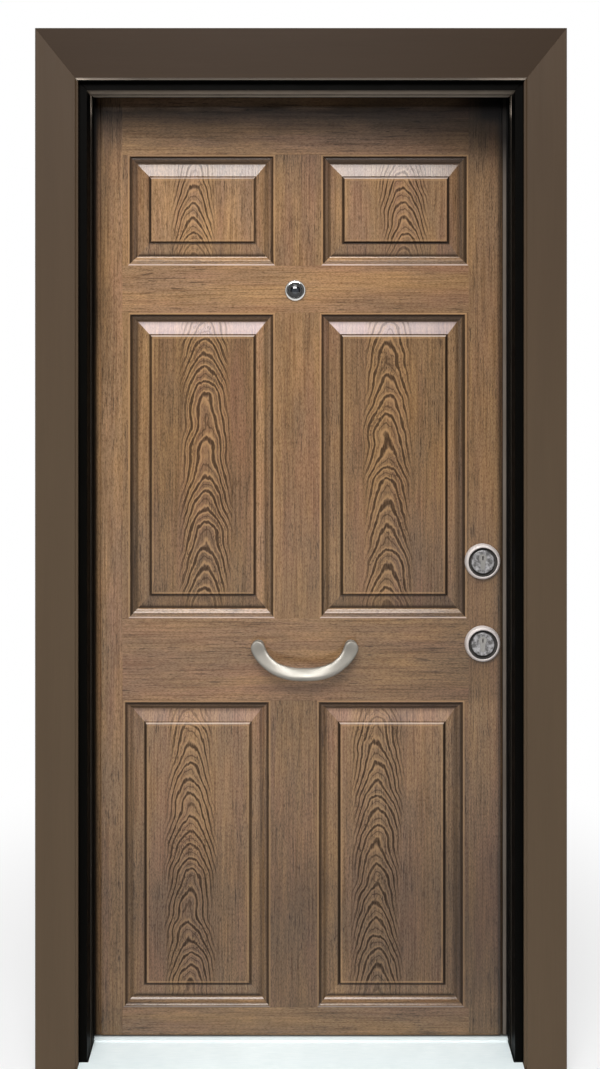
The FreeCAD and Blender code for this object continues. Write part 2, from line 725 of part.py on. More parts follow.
def hinge_leaf_plate(name, count):
    middle = hinge_middle(count)
    web = ("-leaf_half - 1", "-leaf_half - 1 + hinge_web")
    return hinge_half(f"hinge_leaf_plate_{name}", (web[0], "-leaf_half + 42"), "leaf_thick", web,
                      f"{middle} + knuckle_gap", f"{middle} + hinge_half", middle, "pin_fit")


def hinge_pins():
    """Three pins, each with a round head at both ends."""
    pins = []
    for count, name in enumerate(HINGES):
        middle = hinge_middle(count)
        label = f"hinge_pin_{name}"
        low = f"{middle} - hinge_half - pin_head_tall"
        shank = rod(f"{label}_shank", "z", "pin_radius", ("hinge_x", "hinge_y", low),
                    "2 * (hinge_half + pin_head_tall)")
        foot = rod(f"{label}_foot", "z", "pin_head", ("hinge_x", "hinge_y", low), "pin_head_tall")
        head = rod(f"{label}_head", "z", "pin_head",
                   ("hinge_x", "hinge_y", f"{middle} + hinge_half + 0.3"), "pin_head_tall - 0.3")
        pins.append(fuse(label, shank, foot, head))
    return group("hinge_pins", *pins)


# ---- Leaf ----

# The panel moulding as (in from the panel's edge, depth), from the stile to the raised field.
MOULDING = [
    ("0", "0"),
    ("2.5", "0"),
    ("4", "2.4"),
    ("5.5", "2.4"),
    ("6.5", "1"),
    ("14.5", "8.2"),
    ("17", "8.6"),
    ("border - 4", "3.2"),
    ("border - 2.8", "4.4"),
    ("border - 1.5", "4.4"),
    ("border", "field_depth"),
]
BEAD_SIDE = 4
BEAD_BULGE = -1.2

PANELS = [(row, column) for row in ("top", "middle", "bottom") for column in ("left", "right")]


def panel_window(row, column):
    """Left, bottom, right and top of a pressed panel."""
    middle = f"{row}_{column}_x"
    low = f"{row}_panel_low"
    return f"{middle} - panel_wide / 2", low, f"{middle} + panel_wide / 2", f"{low} + {row}_panel_tall"


def press_panel(owner, row, column):
    """Sweeps the moulding round a panel and closes it with the raised field."""
    name = f"{row}_{column}_panel"
    left, low, right, top = panel_window(row, column)
    middle = f"{row}_{column}_x"
    route = [(middle, top), (right, top), (right, low), (left, low), (left, top), (middle, top)]
    path = outline(owner, f"{name}_path", "XZ_Plane", route, closed=False)
    face = [(depth, f"{top} - ({inset})") for inset, depth in MOULDING]
    back = [(f"{depth} + skin", height) for depth, height in reversed(face)]
    section = outline(owner, f"{name}_section", "YZ_Plane", face + back, middle, {BEAD_SIDE: BEAD_BULGE})
    ring = owner.newObject("PartDesign::AdditivePipe", f"{name}_moulding")
    ring.Profile = section
    ring.Spine = (path, [f"Edge{count}" for count in range(1, len(route))])
    ring.Transition = "Right corner"
    field = rectangle(f"{left} + border", f"{low} + border", f"{right} - border", f"{top} - border")
    pad(owner, f"{name}_field", "XZ_Plane", field, "field_depth", "field_depth + skin")


def outer_skin():
    """The outside skin: a sheet with six pressed panels and the holes for its hardware."""
    owner = body("outer_skin")
    sheet_edge = rectangle("-skin_half", "leaf_low", "skin_half", "leaf_top")
    pad(owner, "outer_sheet", "XZ_Plane", sheet_edge, "0", "skin")
    for row, column in PANELS:
        window = rectangle(*panel_window(row, column))
        pocket(owner, f"{row}_{column}_window", "XZ_Plane", window, "0", "skin")
    for row, column in PANELS:
        press_panel(owner, row, column)
    wall = ("-1", "skin + 1")
    locks = [("lock_x", lock["centre"]) for lock in LOCKS.values()]
    feet = [(f"bow_x + {side} * bow_half", "bow_z") for side in (1, -1)]
    drill(owner, "outer_lock_holes", "XZ_Plane", locks, "rosette_bore", *wall)
    drill(owner, "outer_handle_holes", "XZ_Plane", feet, "bow_screw + bow_screw_fit", *wall)
    drill(owner, "outer_viewer_hole", "XZ_Plane", [("viewer_x", "viewer_z")], "tube_radius + 0.5", *wall)
    return owner


def inner_skin():
    """The inside skin: a plain sheet with the holes for its hardware."""
    owner = body("inner_skin")
    sheet_edge = rectangle("-skin_half", "leaf_low", "skin_half", "leaf_top")
    wall = ("leaf_thick - skin", "leaf_thick")
    pad(owner, "inner_sheet", "XZ_Plane", sheet_edge, *wall)
    locks = [("lock_x", lock["centre"]) for lock in LOCKS.values()]
    drill(owner, "inner_lock_holes", "XZ_Plane", locks, "rosette_bore", *wall)
    drill(owner, "inner_lever_hole", "XZ_Plane", [("lock_x", "lever_z")], "lever_radius + 1", *wall)
    drill(owner, "inner_viewer_hole", "XZ_Plane", [("viewer_x", "viewer_z")], "tube_radius + 2.8", *wall)
    return owner


EDGE_SECTION = [
    ("leaf_half - edge_flange", "skin"),
    ("leaf_half - edge_lip", "skin"),
    ("leaf_half - edge_lip", "0"),
    ("leaf_half", "0"),
    ("leaf_half", "leaf_thick"),
    ("leaf_half - edge_lip", "leaf_thick"),
    ("leaf_half - edge_lip", "leaf_thick - skin"),
    ("leaf_half - edge_flange", "leaf_thick - skin"),
    ("leaf_half - edge_flange", "leaf_thick - skin - edge_sheet"),
    ("leaf_half - edge_lip + edge_sheet", "leaf_thick - skin - edge_sheet"),
    ("leaf_half - edge_lip + edge_sheet", "leaf_thick - edge_sheet"),
    ("leaf_half - edge_sheet", "leaf_thick - edge_sheet"),
    ("leaf_half - edge_sheet", "edge_sheet"),
    ("leaf_half - edge_lip + edge_sheet", "edge_sheet"),
    ("leaf_half - edge_lip + edge_sheet", "skin + edge_sheet"),
    ("leaf_half - edge_flange", "skin + edge_sheet"),
]


def leaf_edge(label, side):
    owner = body(label)
    pad(owner, f"{label}_fold", "XY_Plane", signed(side, EDGE_SECTION), "leaf_low", "leaf_top")
    return owner


def open_lock_edge(owner):
    """Lets the forends into the lock edge."""
    for name, lock in LOCKS.items():
        low, top = forend_ends(lock)
        window = rectangle(FOREND_Y[0], low, FOREND_Y[1], top)
        pocket(owner, f"{name}_forend_window", "YZ_Plane", window, "leaf_half - 4", "leaf_half + 1")


def leaf_channel(label, web_low, web_high, lip_low, lip_high):
    """The channel that closes the leaf at its top or bottom, with two lips behind the skins."""
    flange = "leaf_half - edge_flange - 0.5"
    web_half = "leaf_half - edge_sheet - 0.1"
    web = block(f"{label}_web",
                (f"-({web_half})", "skin + edge_sheet + 0.1", web_low),
                (web_half, "leaf_thick - skin - edge_sheet - 0.1", web_high))
    front = block(f"{label}_front",
                  (f"-({flange})", "skin", lip_low), (flange, "skin + edge_sheet + 0.1", lip_high))
    back = block(f"{label}_back",
                 (f"-({flange})", "leaf_thick - skin - edge_sheet - 0.1", lip_low),
                 (flange, "leaf_thick - skin", lip_high))
    return fuse(label, web, front, back)


def leaf_stiffener(label, middle):
    """A folded channel between the skins, open towards the inside."""
    owner = body(label)
    corners = [
        (f"{middle} - stiffener_half", "leaf_thick - skin"),
        (f"{middle} - stiffener_half", "core_front"),
        (f"{middle} + stiffener_half", "core_front"),
        (f"{middle} + stiffener_half", "leaf_thick - skin"),
        (f"{middle} + stiffener_half - edge_sheet", "leaf_thick - skin"),
        (f"{middle} + stiffener_half - edge_sheet", "core_front + edge_sheet"),
        (f"{middle} - stiffener_half + edge_sheet", "core_front + edge_sheet"),
        (f"{middle} - stiffener_half + edge_sheet", "leaf_thick - skin"),
    ]
    pad(owner, f"{label}_fold", "XY_Plane", corners, "leaf_low + channel_lip", "leaf_top - channel_lip")
    return owner


def insulation(label, left, right):
    return block(label, (left, "core_front", "leaf_low + channel_lip + 1"),
                 (right, "leaf_thick - skin", "leaf_top - channel_lip - 1"))


def insulation_middle():
    edge = "stiffener_x - stiffener_half - core_gap"
    slab = insulation("insulation_middle_slab", f"-({edge})", edge)
    start = ("viewer_x", "core_front - 1", "viewer_z")
    return cut("insulation_middle", slab, rod("viewer_channel", "y", "tube_radius + 3.5", start, "leaf_thick"))


def bottom_seal():
    return block("bottom_seal", ("-seal_half", "seal_front", "sill_top + seal_gap"),
                 ("seal_half", "seal_front + seal_wide", "leaf_low"))


# ---- Lock hardware ----

def euro_solid(label, centre, low, high, grow="0"):
    """The keyhole-shaped solid of a profile cylinder: a round top and a narrow foot."""
    top = rod(f"{label}_round", "y", f"euro_radius + {grow}", ("lock_x", low, centre), f"({high}) - ({low})")
    web = block(f"{label}_web",
                (f"lock_x - euro_foot - {grow}", low, f"{centre} - euro_drop"),
                (f"lock_x + euro_foot + {grow}", high, centre))
    foot = rod(f"{label}_foot", "y", f"euro_foot + {grow}",
               ("lock_x", low, f"{centre} - euro_drop"), f"({high}) - ({low})")
    return fuse(f"{label}_profile", top, web, foot)


def plug_height(lock):
    return f"{lock['centre']} + plug_rise"


def lock_case(name, lock):
    """A sheet box with its forend, open for the cylinder, the bolts, the latch and the spindle."""
    label = f"{name}_lock_case"
    owner = body(f"{label}_folded")
    low, top = forend_ends(lock)
    inner = (f"{lock['low']} + case_sheet", f"{lock['top']} - case_sheet")
    walls = rectangle("case_low_y", lock["low"], "case_high_y", lock["top"])
    room = rectangle("case_low_y + case_sheet", inner[0], "case_high_y - case_sheet", inner[1])
    front = "leaf_half - forend_thick"
    pad(owner, f"{label}_box", "YZ_Plane", walls, "case_back", front)
    pad(owner, f"{label}_forend", "YZ_Plane", rectangle(FOREND_Y[0], low, FOREND_Y[1], top), front, "leaf_half")
    pocket(owner, f"{label}_room", "YZ_Plane", room, "case_back + case_sheet", front)
    open_for_lock(owner, label, lock, front, "leaf_half", "bolt_fit")
    tools = [euro_solid(f"{label}_cutter", plug_height(lock), "case_low_y - 1", "case_high_y + 1", "euro_fit")]
    if lock["latch"]:
        start = ("lock_x", "case_low_y - 1", "lever_z")
        tools.append(rod(f"{label}_spindle_hole", "y", "spindle_half * 1.7", start, "case_high_y - case_low_y + 2"))
    return cut(label, owner, *tools)


def lock_bolts(name, lock):
    """Round bolts riveted to one carriage."""
    label = f"{name}_lock_bolts"
    heights = bolt_heights(lock)
    half = "(case_high_y - case_low_y) / 2 - case_sheet - 1"
    plate = block(f"{label}_carriage",
                  ("bolt_back", f"{BOLT_Y} - ({half})", f"{heights[0]} - bolt_radius"),
                  ("bolt_back + carriage", f"{BOLT_Y} + ({half})", f"{heights[-1]} + bolt_radius"))
    start = "bolt_back + carriage / 2"
    rods = [rod(f"{label}_{count}", "x", "bolt_radius", (start, BOLT_Y, height),
                f"leaf_half - bolt_inset - ({start})")
            for count, height in enumerate(heights, 1)]
    return fuse(label, plate, *rods)


def latch():
    """The sprung latch: a bevelled head, and a tail with the lug that the follower pushes."""
    owner = body("latch")
    tip = "leaf_half + latch_out"
    far = "latch_y + latch_wide"
    head = [
        ("latch_back", "latch_y"),
        ("leaf_half + 0.5", "latch_y"),
        (tip, f"{far} - 4"),
        (tip, far),
        ("latch_back", far),
    ]
    pad(owner, "latch_head", "XY_Plane", head, "lever_z - latch_half", "lever_z + latch_half")
    arm_top = "lever_z + follower_arm + 5"
    tail = [
        ("latch_back", "lever_z + latch_half - 1"),
        ("latch_back + 8", "lever_z + latch_half - 1"),
        ("latch_back + 8", arm_top),
        ("lock_x - 8", arm_top),
        ("lock_x - 8", "lever_z + follower_radius + 2"),
        ("lock_x - arm_half - 0.5", "lever_z + follower_radius + 2"),
        ("lock_x - arm_half - 0.5", f"{arm_top} - 3"),
        ("latch_back", f"{arm_top} - 3"),
    ]
    pad(owner, "latch_tail", "XZ_Plane", tail, "latch_y + 3", f"{far} - 3")
    return owner


def square_bar(label, half, low, high):
    return block(label, (f"lock_x - {half}", low, f"lever_z - {half}"), (f"lock_x + {half}", high, f"lever_z + {half}"))


def lever_spindle():
    return square_bar("lever_spindle", "spindle_half", "case_low_y + case_sheet + 0.3", "spindle_end")


def latch_spring():
    """A coil between the back of the case and the latch's lug."""
    path = document.addObject("Part::Helix", "latch_spring_path")
    bind(path, "Radius", "spring_radius")
    bind(path, "Pitch", "spring_pitch")
    bind(path, "Height", "lock_x - 8 - case_back - case_sheet - 2 * spring_wire - 0.2")
    path.SegmentLength = 0
    wire = document.addObject("Part::Circle", "latch_spring_wire")
    bind(wire, "Radius", "spring_wire")
    bind(wire, "Placement.Base.x", "spring_radius")
    wire.Placement = Placement(wire.Placement.Base, Rotation(Vector(1, 0, 0), 90))
    document.recompute()
    coil = document.addObject("Part::Sweep", "latch_spring")
    coil.Sections = [wire]
    coil.Spine = (path, ["Edge1"])
    coil.Solid = True
    coil.Frenet = True
    coil.Placement = Placement(Vector(), TURNS["x"])
    bind(coil, "Placement.Base.x", "case_back + case_sheet + spring_wire + 0.1")
    bind(coil, "Placement.Base.y", "latch_y + latch_wide / 2")
    bind(coil, "Placement.Base.z", "lever_z + follower_radius + 8")
    return coil


def latch_follower():
    """The hub on the spindle, with the arm that draws the latch back."""
    low = "latch_y + 0.2"
    length = "latch_wide - 0.4"
    hub = rod("follower_hub", "y", "follower_radius", ("lock_x", low, "lever_z"), length)
    arm = block("follower_arm_bar",
                ("lock_x - arm_half", "latch_y + 3.5", "lever_z"),
                ("lock_x + arm_half", "latch_y + latch_wide - 3.5", "lever_z + follower_arm"))
    hole = square_bar("follower_square", "(spindle_half + spindle_fit / 2)", "latch_y - 1", "latch_y + latch_wide + 1")
    return cut("latch_follower", fuse("follower_solid", hub, arm), hole)


def inside_lever():
    """A bent round lever: neck, elbow and bar, bored square for the spindle."""
    start = "leaf_thick + inside_high + neck_gap"
    neck = rod("lever_neck", "y", "lever_radius", ("lock_x", start, "lever_z"), f"lever_y - ({start})")
    elbow = ball("lever_elbow", "lever_radius", ("lock_x", "lever_y", "lever_z"))
    bar = rod("lever_bar", "x", "lever_radius", ("lock_x - lever_reach", "lever_y", "lever_z"), "lever_reach")
    end = ball("lever_end", "lever_radius", ("lock_x - lever_reach", "lever_y", "lever_z"))
    hole = square_bar("lever_square", "(spindle_half + spindle_fit / 2)", f"{start} - 1", "spindle_end + 0.5")
    return cut("inside_lever", fuse("lever_solid", neck, elbow, bar, end), hole)


def lever_rosette():
    corners = [
        ("leaf_thick", "lever_radius + 0.6"),
        ("leaf_thick", "inside_rosette"),
        ("leaf_thick + inside_high - 2", "inside_rosette"),
        ("leaf_thick + inside_high", "inside_rosette - 3"),
        ("leaf_thick + inside_high", "lever_radius + 0.6"),
    ]
    return turned("lever_rosette", corners, ("lock_x", "0", "lever_z"))


def cut_euro(owner, low, high, grow):
    """Cuts the profile of the lock cylinder through a turned piece."""
    name = owner.Label
    slot = rectangle(f"-euro_foot - {grow}", "plug_rise - euro_drop", f"euro_foot + {grow}", "plug_rise")
    drill(owner, f"{name}_round_hole", "XZ_Plane", [("0", "plug_rise")], f"euro_radius + {grow}", low, high)
    pocket(owner, f"{name}_slot", "XZ_Plane", slot, low, high)
    drill(owner, f"{name}_foot_hole", "XZ_Plane", [("0", "plug_rise - euro_drop")], f"euro_foot + {grow}", low, high)


def outer_rosette(name, lock):
    """A heavy ring with a base, in which the disc sits."""
    corners = [
        ("0", "rosette_bore"),
        ("0", "rosette_radius"),
        ("-rosette_high / 2", "rosette_radius"),
        ("-rosette_high", "rosette_radius - 4.5"),
        ("-rosette_high + 1.5", "rosette_inner"),
        ("-disc_low", "rosette_inner"),
        ("-disc_low", "rosette_bore"),
    ]
    return turned(f"{name}_outer_rosette", corners, ("lock_x", "0", lock["centre"]), {2: -1.2})


def rosette_disc(name, lock):
    """The hardened disc round the cylinder's face."""
    corners = [
        ("-disc_low", "0"),
        ("-disc_low", "disc_radius"),
        ("-disc_high + 1.2", "disc_radius"),
        ("-disc_high", "disc_radius - 1.2"),
        ("-disc_high", "0"),
    ]
    owner = turned(f"{name}_rosette_disc", corners, ("lock_x", "0", lock["centre"]))
    cut_euro(owner, "-disc_high - 1", "0", "euro_fit")
    return owner


def inner_rosette(name, lock):
    corners = [
        ("leaf_thick", "0"),
        ("leaf_thick", "inside_rosette"),
        ("leaf_thick + inside_high - 2", "inside_rosette"),
        ("leaf_thick + inside_high", "inside_rosette - 3"),
        ("leaf_thick + inside_high", "0"),
    ]
    owner = turned(f"{name}_inner_rosette", corners, ("lock_x", "0", lock["centre"]))
    cut_euro(owner, "leaf_thick - 1", "leaf_thick + inside_high + 1", "euro_fit")
    return owner


def lock_cylinder(name, lock):
    """The profile cylinder's housing: bored for the plugs, with the gap for the cam."""
    label = f"{name}_lock_cylinder"
    centre = plug_height(lock)
    solid = euro_solid(label, centre, "-cylinder_out", "cylinder_in")
    start = ("lock_x", "-cylinder_out - 1", centre)
    bore = rod(f"{label}_bore", "y", "plug_radius + plug_fit", start, "cylinder_in + cylinder_out + 2")
    gap = block(f"{label}_cam_gap",
                ("lock_x - euro_radius - 1", "cam_low_y", f"{centre} - bridge_drop"),
                ("lock_x + euro_radius + 1", "cam_high_y", f"{centre} + euro_radius + 1"))
    return cut(label, solid, bore, gap)


def key_plug(name, lock):
    """The outside plug with its keyway."""
    label = f"{name}_key_plug"
    centre = plug_height(lock)
    start = ("lock_x", "-cylinder_out - 0.4", centre)
    plug = rod(f"{label}_bar", "y", "plug_radius", start, "cam_low_y + cylinder_out")
    way = block(f"{label}_way",
                ("lock_x - keyway_wide / 2", "-cylinder_out - 1", f"{centre} - keyway_tall / 2"),
                ("lock_x + keyway_wide / 2", "keyway_deep - cylinder_out", f"{centre} + keyway_tall / 2"))
    return cut(label, plug, way)


def thumbturn(name, lock):
    """The inside plug with its cam and the flat knob that turns it."""
    label = f"{name}_thumbturn"
    centre = plug_height(lock)
    begin = "cam_low_y + 0.5"
    shaft = rod(f"{label}_shaft", "y", "plug_radius", ("lock_x", begin, centre), f"cylinder_in + 2 - ({begin})")
    hub = rod(f"{label}_hub", "y", "euro_radius - 0.5", ("lock_x", begin, centre), f"cam_high_y - 0.5 - ({begin})")
    finger = block(f"{label}_finger",
                   ("lock_x - 3", begin, f"{centre} - cam_reach"), ("lock_x + 3", "cam_high_y - 0.5", centre))
    collar = rod(f"{label}_collar", "y", "euro_radius + 1.5", ("lock_x", "cylinder_in + 0.5", centre), "5")
    middle = block(f"{label}_wing",
                   ("lock_x - 3.5", "cylinder_in + 4", f"{centre} - knob_half + 4"),
                   ("lock_x + 3.5", "cylinder_in + knob_out", f"{centre} + knob_half - 4"))
    ends = [rod(f"{label}_end_{count}", "y", "3.5",
                ("lock_x", "cylinder_in + 4", f"{centre} + {side} * (knob_half - 4)"), "knob_out - 4")
            for count, side in enumerate((1, -1), 1)]
    return fuse(label, shaft, hub, finger, collar, middle, *ends)


# ---- Door viewer ----

def viewer_barrel():
    corners = [
        ("0", "tube_radius"),
        ("0", "bezel_radius"),
        ("-1.5", "bezel_radius"),
        ("-6", "lens_radius + 2.3"),
        ("-6", "lens_radius + 0.3"),
        ("-3", "lens_radius + 0.3"),
        ("-3", "tube_bore"),
        ("tube_end", "tube_bore"),
        ("tube_end", "tube_radius"),
    ]
    return turned("viewer_barrel", corners, ("viewer_x", "0", "viewer_z"), {2: -1.2})


def viewer_lens():
    """A glass dome: part of a ball inside the bezel's rim."""
    glass = ball("viewer_lens_ball", "lens_curve", ("viewer_x", "lens_curve - lens_high", "viewer_z"))
    rim = rod("viewer_lens_rim", "y", "lens_radius", ("viewer_x", "-lens_high", "viewer_z"), "lens_high - 3")
    return common("viewer_lens", glass, rim)


def viewer_inside_ring():
    corners = [
        ("tube_end - 13", "tube_radius + 0.3"),
        ("tube_end - 13", "tube_radius + 2.5"),
        ("leaf_thick", "tube_radius + 2.5"),
        ("leaf_thick", "tube_radius + 12"),
        ("leaf_thick + 3", "tube_radius + 11"),
        ("leaf_thick + 5.5", "tube_radius + 6"),
        ("leaf_thick + 5.5", "tube_radius - 3"),
        ("tube_end + 2", "tube_radius - 3"),
        ("tube_end + 2", "tube_radius + 0.3"),
    ]
    return turned("viewer_inside_ring", corners, ("viewer_x", "0", "viewer_z"))


# ---- Bow handle ----

BOW_SECTIONS = 9


def bow_section(count, radius, rise, outward):
    """One oval section of the bow, square to its arc."""
    half_turn = math.acos((radius - rise) / radius)
    turn = half_turn * (2 * count / (BOW_SECTIONS - 1) - 1)
    across = Vector(1, 0, 0)
    radial = across * math.sin(turn) + outward * math.cos(turn)
    along = across * math.cos(turn) - outward * math.sin(turn)
    share = math.sin(abs(turn) / half_turn * math.pi / 2) ** 2
    oval = document.addObject("Part::Ellipse", f"bow_section_{count + 1}")
    width = f"(bow_middle + (bow_end - bow_middle) * {share:.4f})"
    bind(oval, "MajorRadius", width)
    bind(oval, "MinorRadius", f"{width} * bow_thin")
    hub = Vector(size("bow_x"), -size("foot_axis"), size("bow_z")) + outward * (rise - radius)
    oval.Placement = Placement(hub + radial * radius, Rotation(radial, along.cross(radial), along, "ZXY"))
    return oval


def pull_handle():
    """A cast bow that hangs forward and down from two feet; it thickens towards the feet."""
    reach = Vector(0, -size("bow_out"), -size("bow_drop"))
    rise = reach.Length
    radius = (size("bow_half") ** 2 + rise ** 2) / (2 * rise)
    bow = document.addObject("Part::Loft", "pull_handle_bow")
    bow.Sections = [bow_section(count, radius, rise, reach.normalize()) for count in range(BOW_SECTIONS)]
    bow.Solid = True
    solids = [bow]
    cutters = [block("bow_leaf_side",
                     ("bow_x - 2 * bow_half", "0", "bow_z - 2 * foot_radius"),
                     ("bow_x + 2 * bow_half", "foot_radius", "bow_z + 2 * foot_radius"))]
    for name, side in (("right", 1), ("left", -1)):
        where = f"bow_x + {side} * bow_half"
        solids.append(rod(f"bow_foot_{name}", "y", "foot_radius", (where, "-foot_axis", "bow_z"), "foot_axis"))
        solids.append(ball(f"bow_dome_{name}", "foot_radius", (where, "-foot_axis", "bow_z")))
        cutters.append(rod(f"bow_hole_{name}", "y", "bow_screw", (where, "-bow_screw_in", "bow_z"),
                           "bow_screw_in + 1"))
    return cut("pull_handle", fuse("pull_handle_solid", *solids), *cutters)


def handle_backing_plate():
    plate = block("handle_backing_blank",
                  ("bow_x - bow_half - backing_over", "skin", "bow_z - backing_half"),
                  ("bow_x + bow_half + backing_over", "skin + backing", "bow_z + backing_half"))
    holes = [rod(f"backing_hole_{count}", "y", "bow_screw + bow_screw_fit",
                 (f"bow_x + {side} * bow_half", "0", "bow_z"), "skin + backing + 1")
             for count, side in enumerate((1, -1), 1)]
    return cut("handle_backing_plate", plate, *holes)


def pull_handle_screws():
    screws = []
    for count, side in enumerate((1, -1), 1):
        label = f"pull_handle_screw_{count}"
        where = f"bow_x + {side} * bow_half"
        shank = rod(f"{label}_shank", "y", "bow_screw - 0.05", (where, "-bow_screw_in + 0.5", "bow_z"),
                    "bow_screw_in - 0.5 + skin + backing + 1")
        head = rod(f"{label}_head", "y", "bow_screw * 1.8", (where, "skin + backing", "bow_z"), "bow_screw_head")
        screws.append(fuse(label, shank, head))
    return group("pull_handle_screws", *screws)


# ---- Assembly ----

def build_frame():
    node(frame_jamb("frame_hinge_jamb", -1))
    lock_jamb = node(frame_jamb("frame_lock_jamb", 1))
    open_lock_jamb(lock_jamb)
    node(frame_head())
    node(threshold())
    node(casing_side("casing_left", -1))
    node(casing_side("casing_right", 1))
    node(casing_head())
    node(frame_gasket())
    node(wall_lugs())
    for name, lock in LOCKS.items():
        node(strike_plate(name, lock))
    node(strike_screws())
    for count, name in enumerate(HINGES):
        node(hinge_frame_plate(name, count))
    node(hinge_pins())


def build_leaf():
    node(outer_skin())
    node(inner_skin())
    node(leaf_edge("leaf_hinge_edge", -1))
    lock_edge = node(leaf_edge("leaf_lock_edge", 1))
    open_lock_edge(lock_edge)
    node(leaf_channel("leaf_top_channel", "leaf_top - edge_sheet", "leaf_top", "leaf_top - channel_lip", "leaf_top"))
    node(leaf_channel("leaf_bottom_channel", "leaf_low", "leaf_low + edge_sheet", "leaf_low", "leaf_low + channel_lip"))
    node(leaf_stiffener("leaf_stiffener_left", "-stiffener_x"))
    node(leaf_stiffener("leaf_stiffener_right", "stiffener_x"))
    beside = "stiffener_x + stiffener_half + core_gap"
    node(insulation("insulation_left", "-core_hinge_side", f"-({beside})"))
    node(insulation_middle())
    node(insulation("insulation_right", beside, "core_lock_side"))
    node(bottom_seal())
    for count, name in enumerate(HINGES):
        node(hinge_leaf_plate(name, count))


def build_hardware():
    for name, lock in LOCKS.items():
        node(lock_case(name, lock))
        node(lock_bolts(name, lock))
        node(outer_rosette(name, lock))
        node(rosette_disc(name, lock))
        node(inner_rosette(name, lock))
        node(lock_cylinder(name, lock))
        node(key_plug(name, lock))
        node(thumbturn(name, lock))
    for make in (latch, latch_spring, latch_follower, lever_spindle, inside_lever, lever_rosette,
                 viewer_barrel, viewer_lens, viewer_inside_ring,
                 pull_handle, handle_backing_plate, pull_handle_screws):
        node(make())


def check_document():
    """Stops if any object of the document failed or any sub-part has no sound shape."""
    for item in document.Objects:
        if "Invalid" in item.State or "Error" in item.State:
            raise RuntimeError(f"{item.Label} failed: {item.State}")
    for item in nodes:
        if item.Shape.isNull() or not item.Shape.isValid() or not item.Shape.Solids:
            raise RuntimeError(f"{item.Label} has no valid solid")


def main():
    fill_sheet()
    build_frame()
    build_leaf()
    build_hardware()
    document.recompute()
    check_document()
    os.makedirs("parts", exist_ok=True)
    for item in nodes:
        item.Shape.exportStep(os.path.join("parts", f"{item.Label}.step"))
        box = item.Shape.BoundBox
        print(f"{item.Label}: {len(item.Shape.Solids)} solids, {item.Shape.Volume:.0f} mm3, "
              f"x {box.XMin:.1f}..{box.XMax:.1f} y {box.YMin:.1f}..{box.YMax:.1f} z {box.ZMin:.1f}..{box.ZMax:.1f}")


main()
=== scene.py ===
"""Six-panel steel entrance door with its frame, casing, sill, hinges, locks, lever and pull handle.

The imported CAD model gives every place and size. This script dresses it: the pressed wood-look skin, the
soft edges of folded steel, the screws, and the finish of each part."""
import json
import math
from functools import partialmethod

import bmesh
import bpy
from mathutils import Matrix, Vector
from mathutils.geometry import delaunay_2d_cdt

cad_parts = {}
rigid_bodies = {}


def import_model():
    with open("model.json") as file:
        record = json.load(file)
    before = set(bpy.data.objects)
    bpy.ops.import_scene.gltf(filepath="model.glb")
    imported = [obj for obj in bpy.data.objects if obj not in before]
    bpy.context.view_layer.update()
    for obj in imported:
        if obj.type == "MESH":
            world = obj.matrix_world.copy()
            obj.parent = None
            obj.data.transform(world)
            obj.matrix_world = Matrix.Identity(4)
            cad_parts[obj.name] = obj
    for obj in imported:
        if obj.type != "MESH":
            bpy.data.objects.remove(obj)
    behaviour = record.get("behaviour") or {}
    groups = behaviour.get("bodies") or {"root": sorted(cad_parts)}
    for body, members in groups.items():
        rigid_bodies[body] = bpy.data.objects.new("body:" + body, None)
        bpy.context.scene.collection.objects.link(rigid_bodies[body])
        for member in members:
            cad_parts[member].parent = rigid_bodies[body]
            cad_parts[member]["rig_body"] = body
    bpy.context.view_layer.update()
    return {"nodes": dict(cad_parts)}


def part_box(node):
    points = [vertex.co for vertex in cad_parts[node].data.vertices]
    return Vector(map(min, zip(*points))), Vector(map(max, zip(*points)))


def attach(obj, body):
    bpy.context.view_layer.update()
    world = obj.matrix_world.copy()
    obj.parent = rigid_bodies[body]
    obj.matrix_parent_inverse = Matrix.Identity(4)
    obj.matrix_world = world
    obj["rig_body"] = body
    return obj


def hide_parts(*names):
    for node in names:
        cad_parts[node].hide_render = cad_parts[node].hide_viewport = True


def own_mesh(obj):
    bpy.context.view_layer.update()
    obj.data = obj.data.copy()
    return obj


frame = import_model()

bl_info = {
    "name": "Panelled steel entrance door",
    "version": (1, 0, 0),
    "blender": (4, 5, 0),
    "location": "View3D > Sidebar > Door",
    "description": "Dresses the steel entrance door: wood-look skins, frame, casing, locks, handle and stage",
    "category": "Object",
}

MM = 0.001
NODES = frame["nodes"]


# ---------------------------------------------------------------- sizes and colours a user may change

LENGTH = {"subtype": "DISTANCE", "unit": "LENGTH"}
COLOUR = {"min": 0, "max": 1, "size": 3, "subtype": "COLOR"}


class DoorSizes(bpy.types.PropertyGroup):
    """Sizes of the pressed panels and of the small details"""
    fold_radius: bpy.props.FloatProperty(
        name="Fold radius", description="Rounding of the folds in the sheet steel parts",
        default=0.0007, min=0.0001, max=0.003, **LENGTH)
    sheet: bpy.props.FloatProperty(
        name="Outer sheet", description="Thickness of the pressed outer skin",
        default=0.002, min=0.0005, max=0.003, **LENGTH)
    # the lighter line round each panel: wear, and a painted highlight along a panel's bottom side
    wear_and_highlight_ring: bpy.props.FloatProperty(
        name="Worn ring", description="Width of the rubbed, lighter line round each pressed panel",
        default=0.0024, min=0.001, max=0.004, **LENGTH)
    screw_head: bpy.props.FloatProperty(
        name="Screw head", description="Diameter of the small screw heads",
        default=0.0064, min=0.003, max=0.012, **LENGTH)


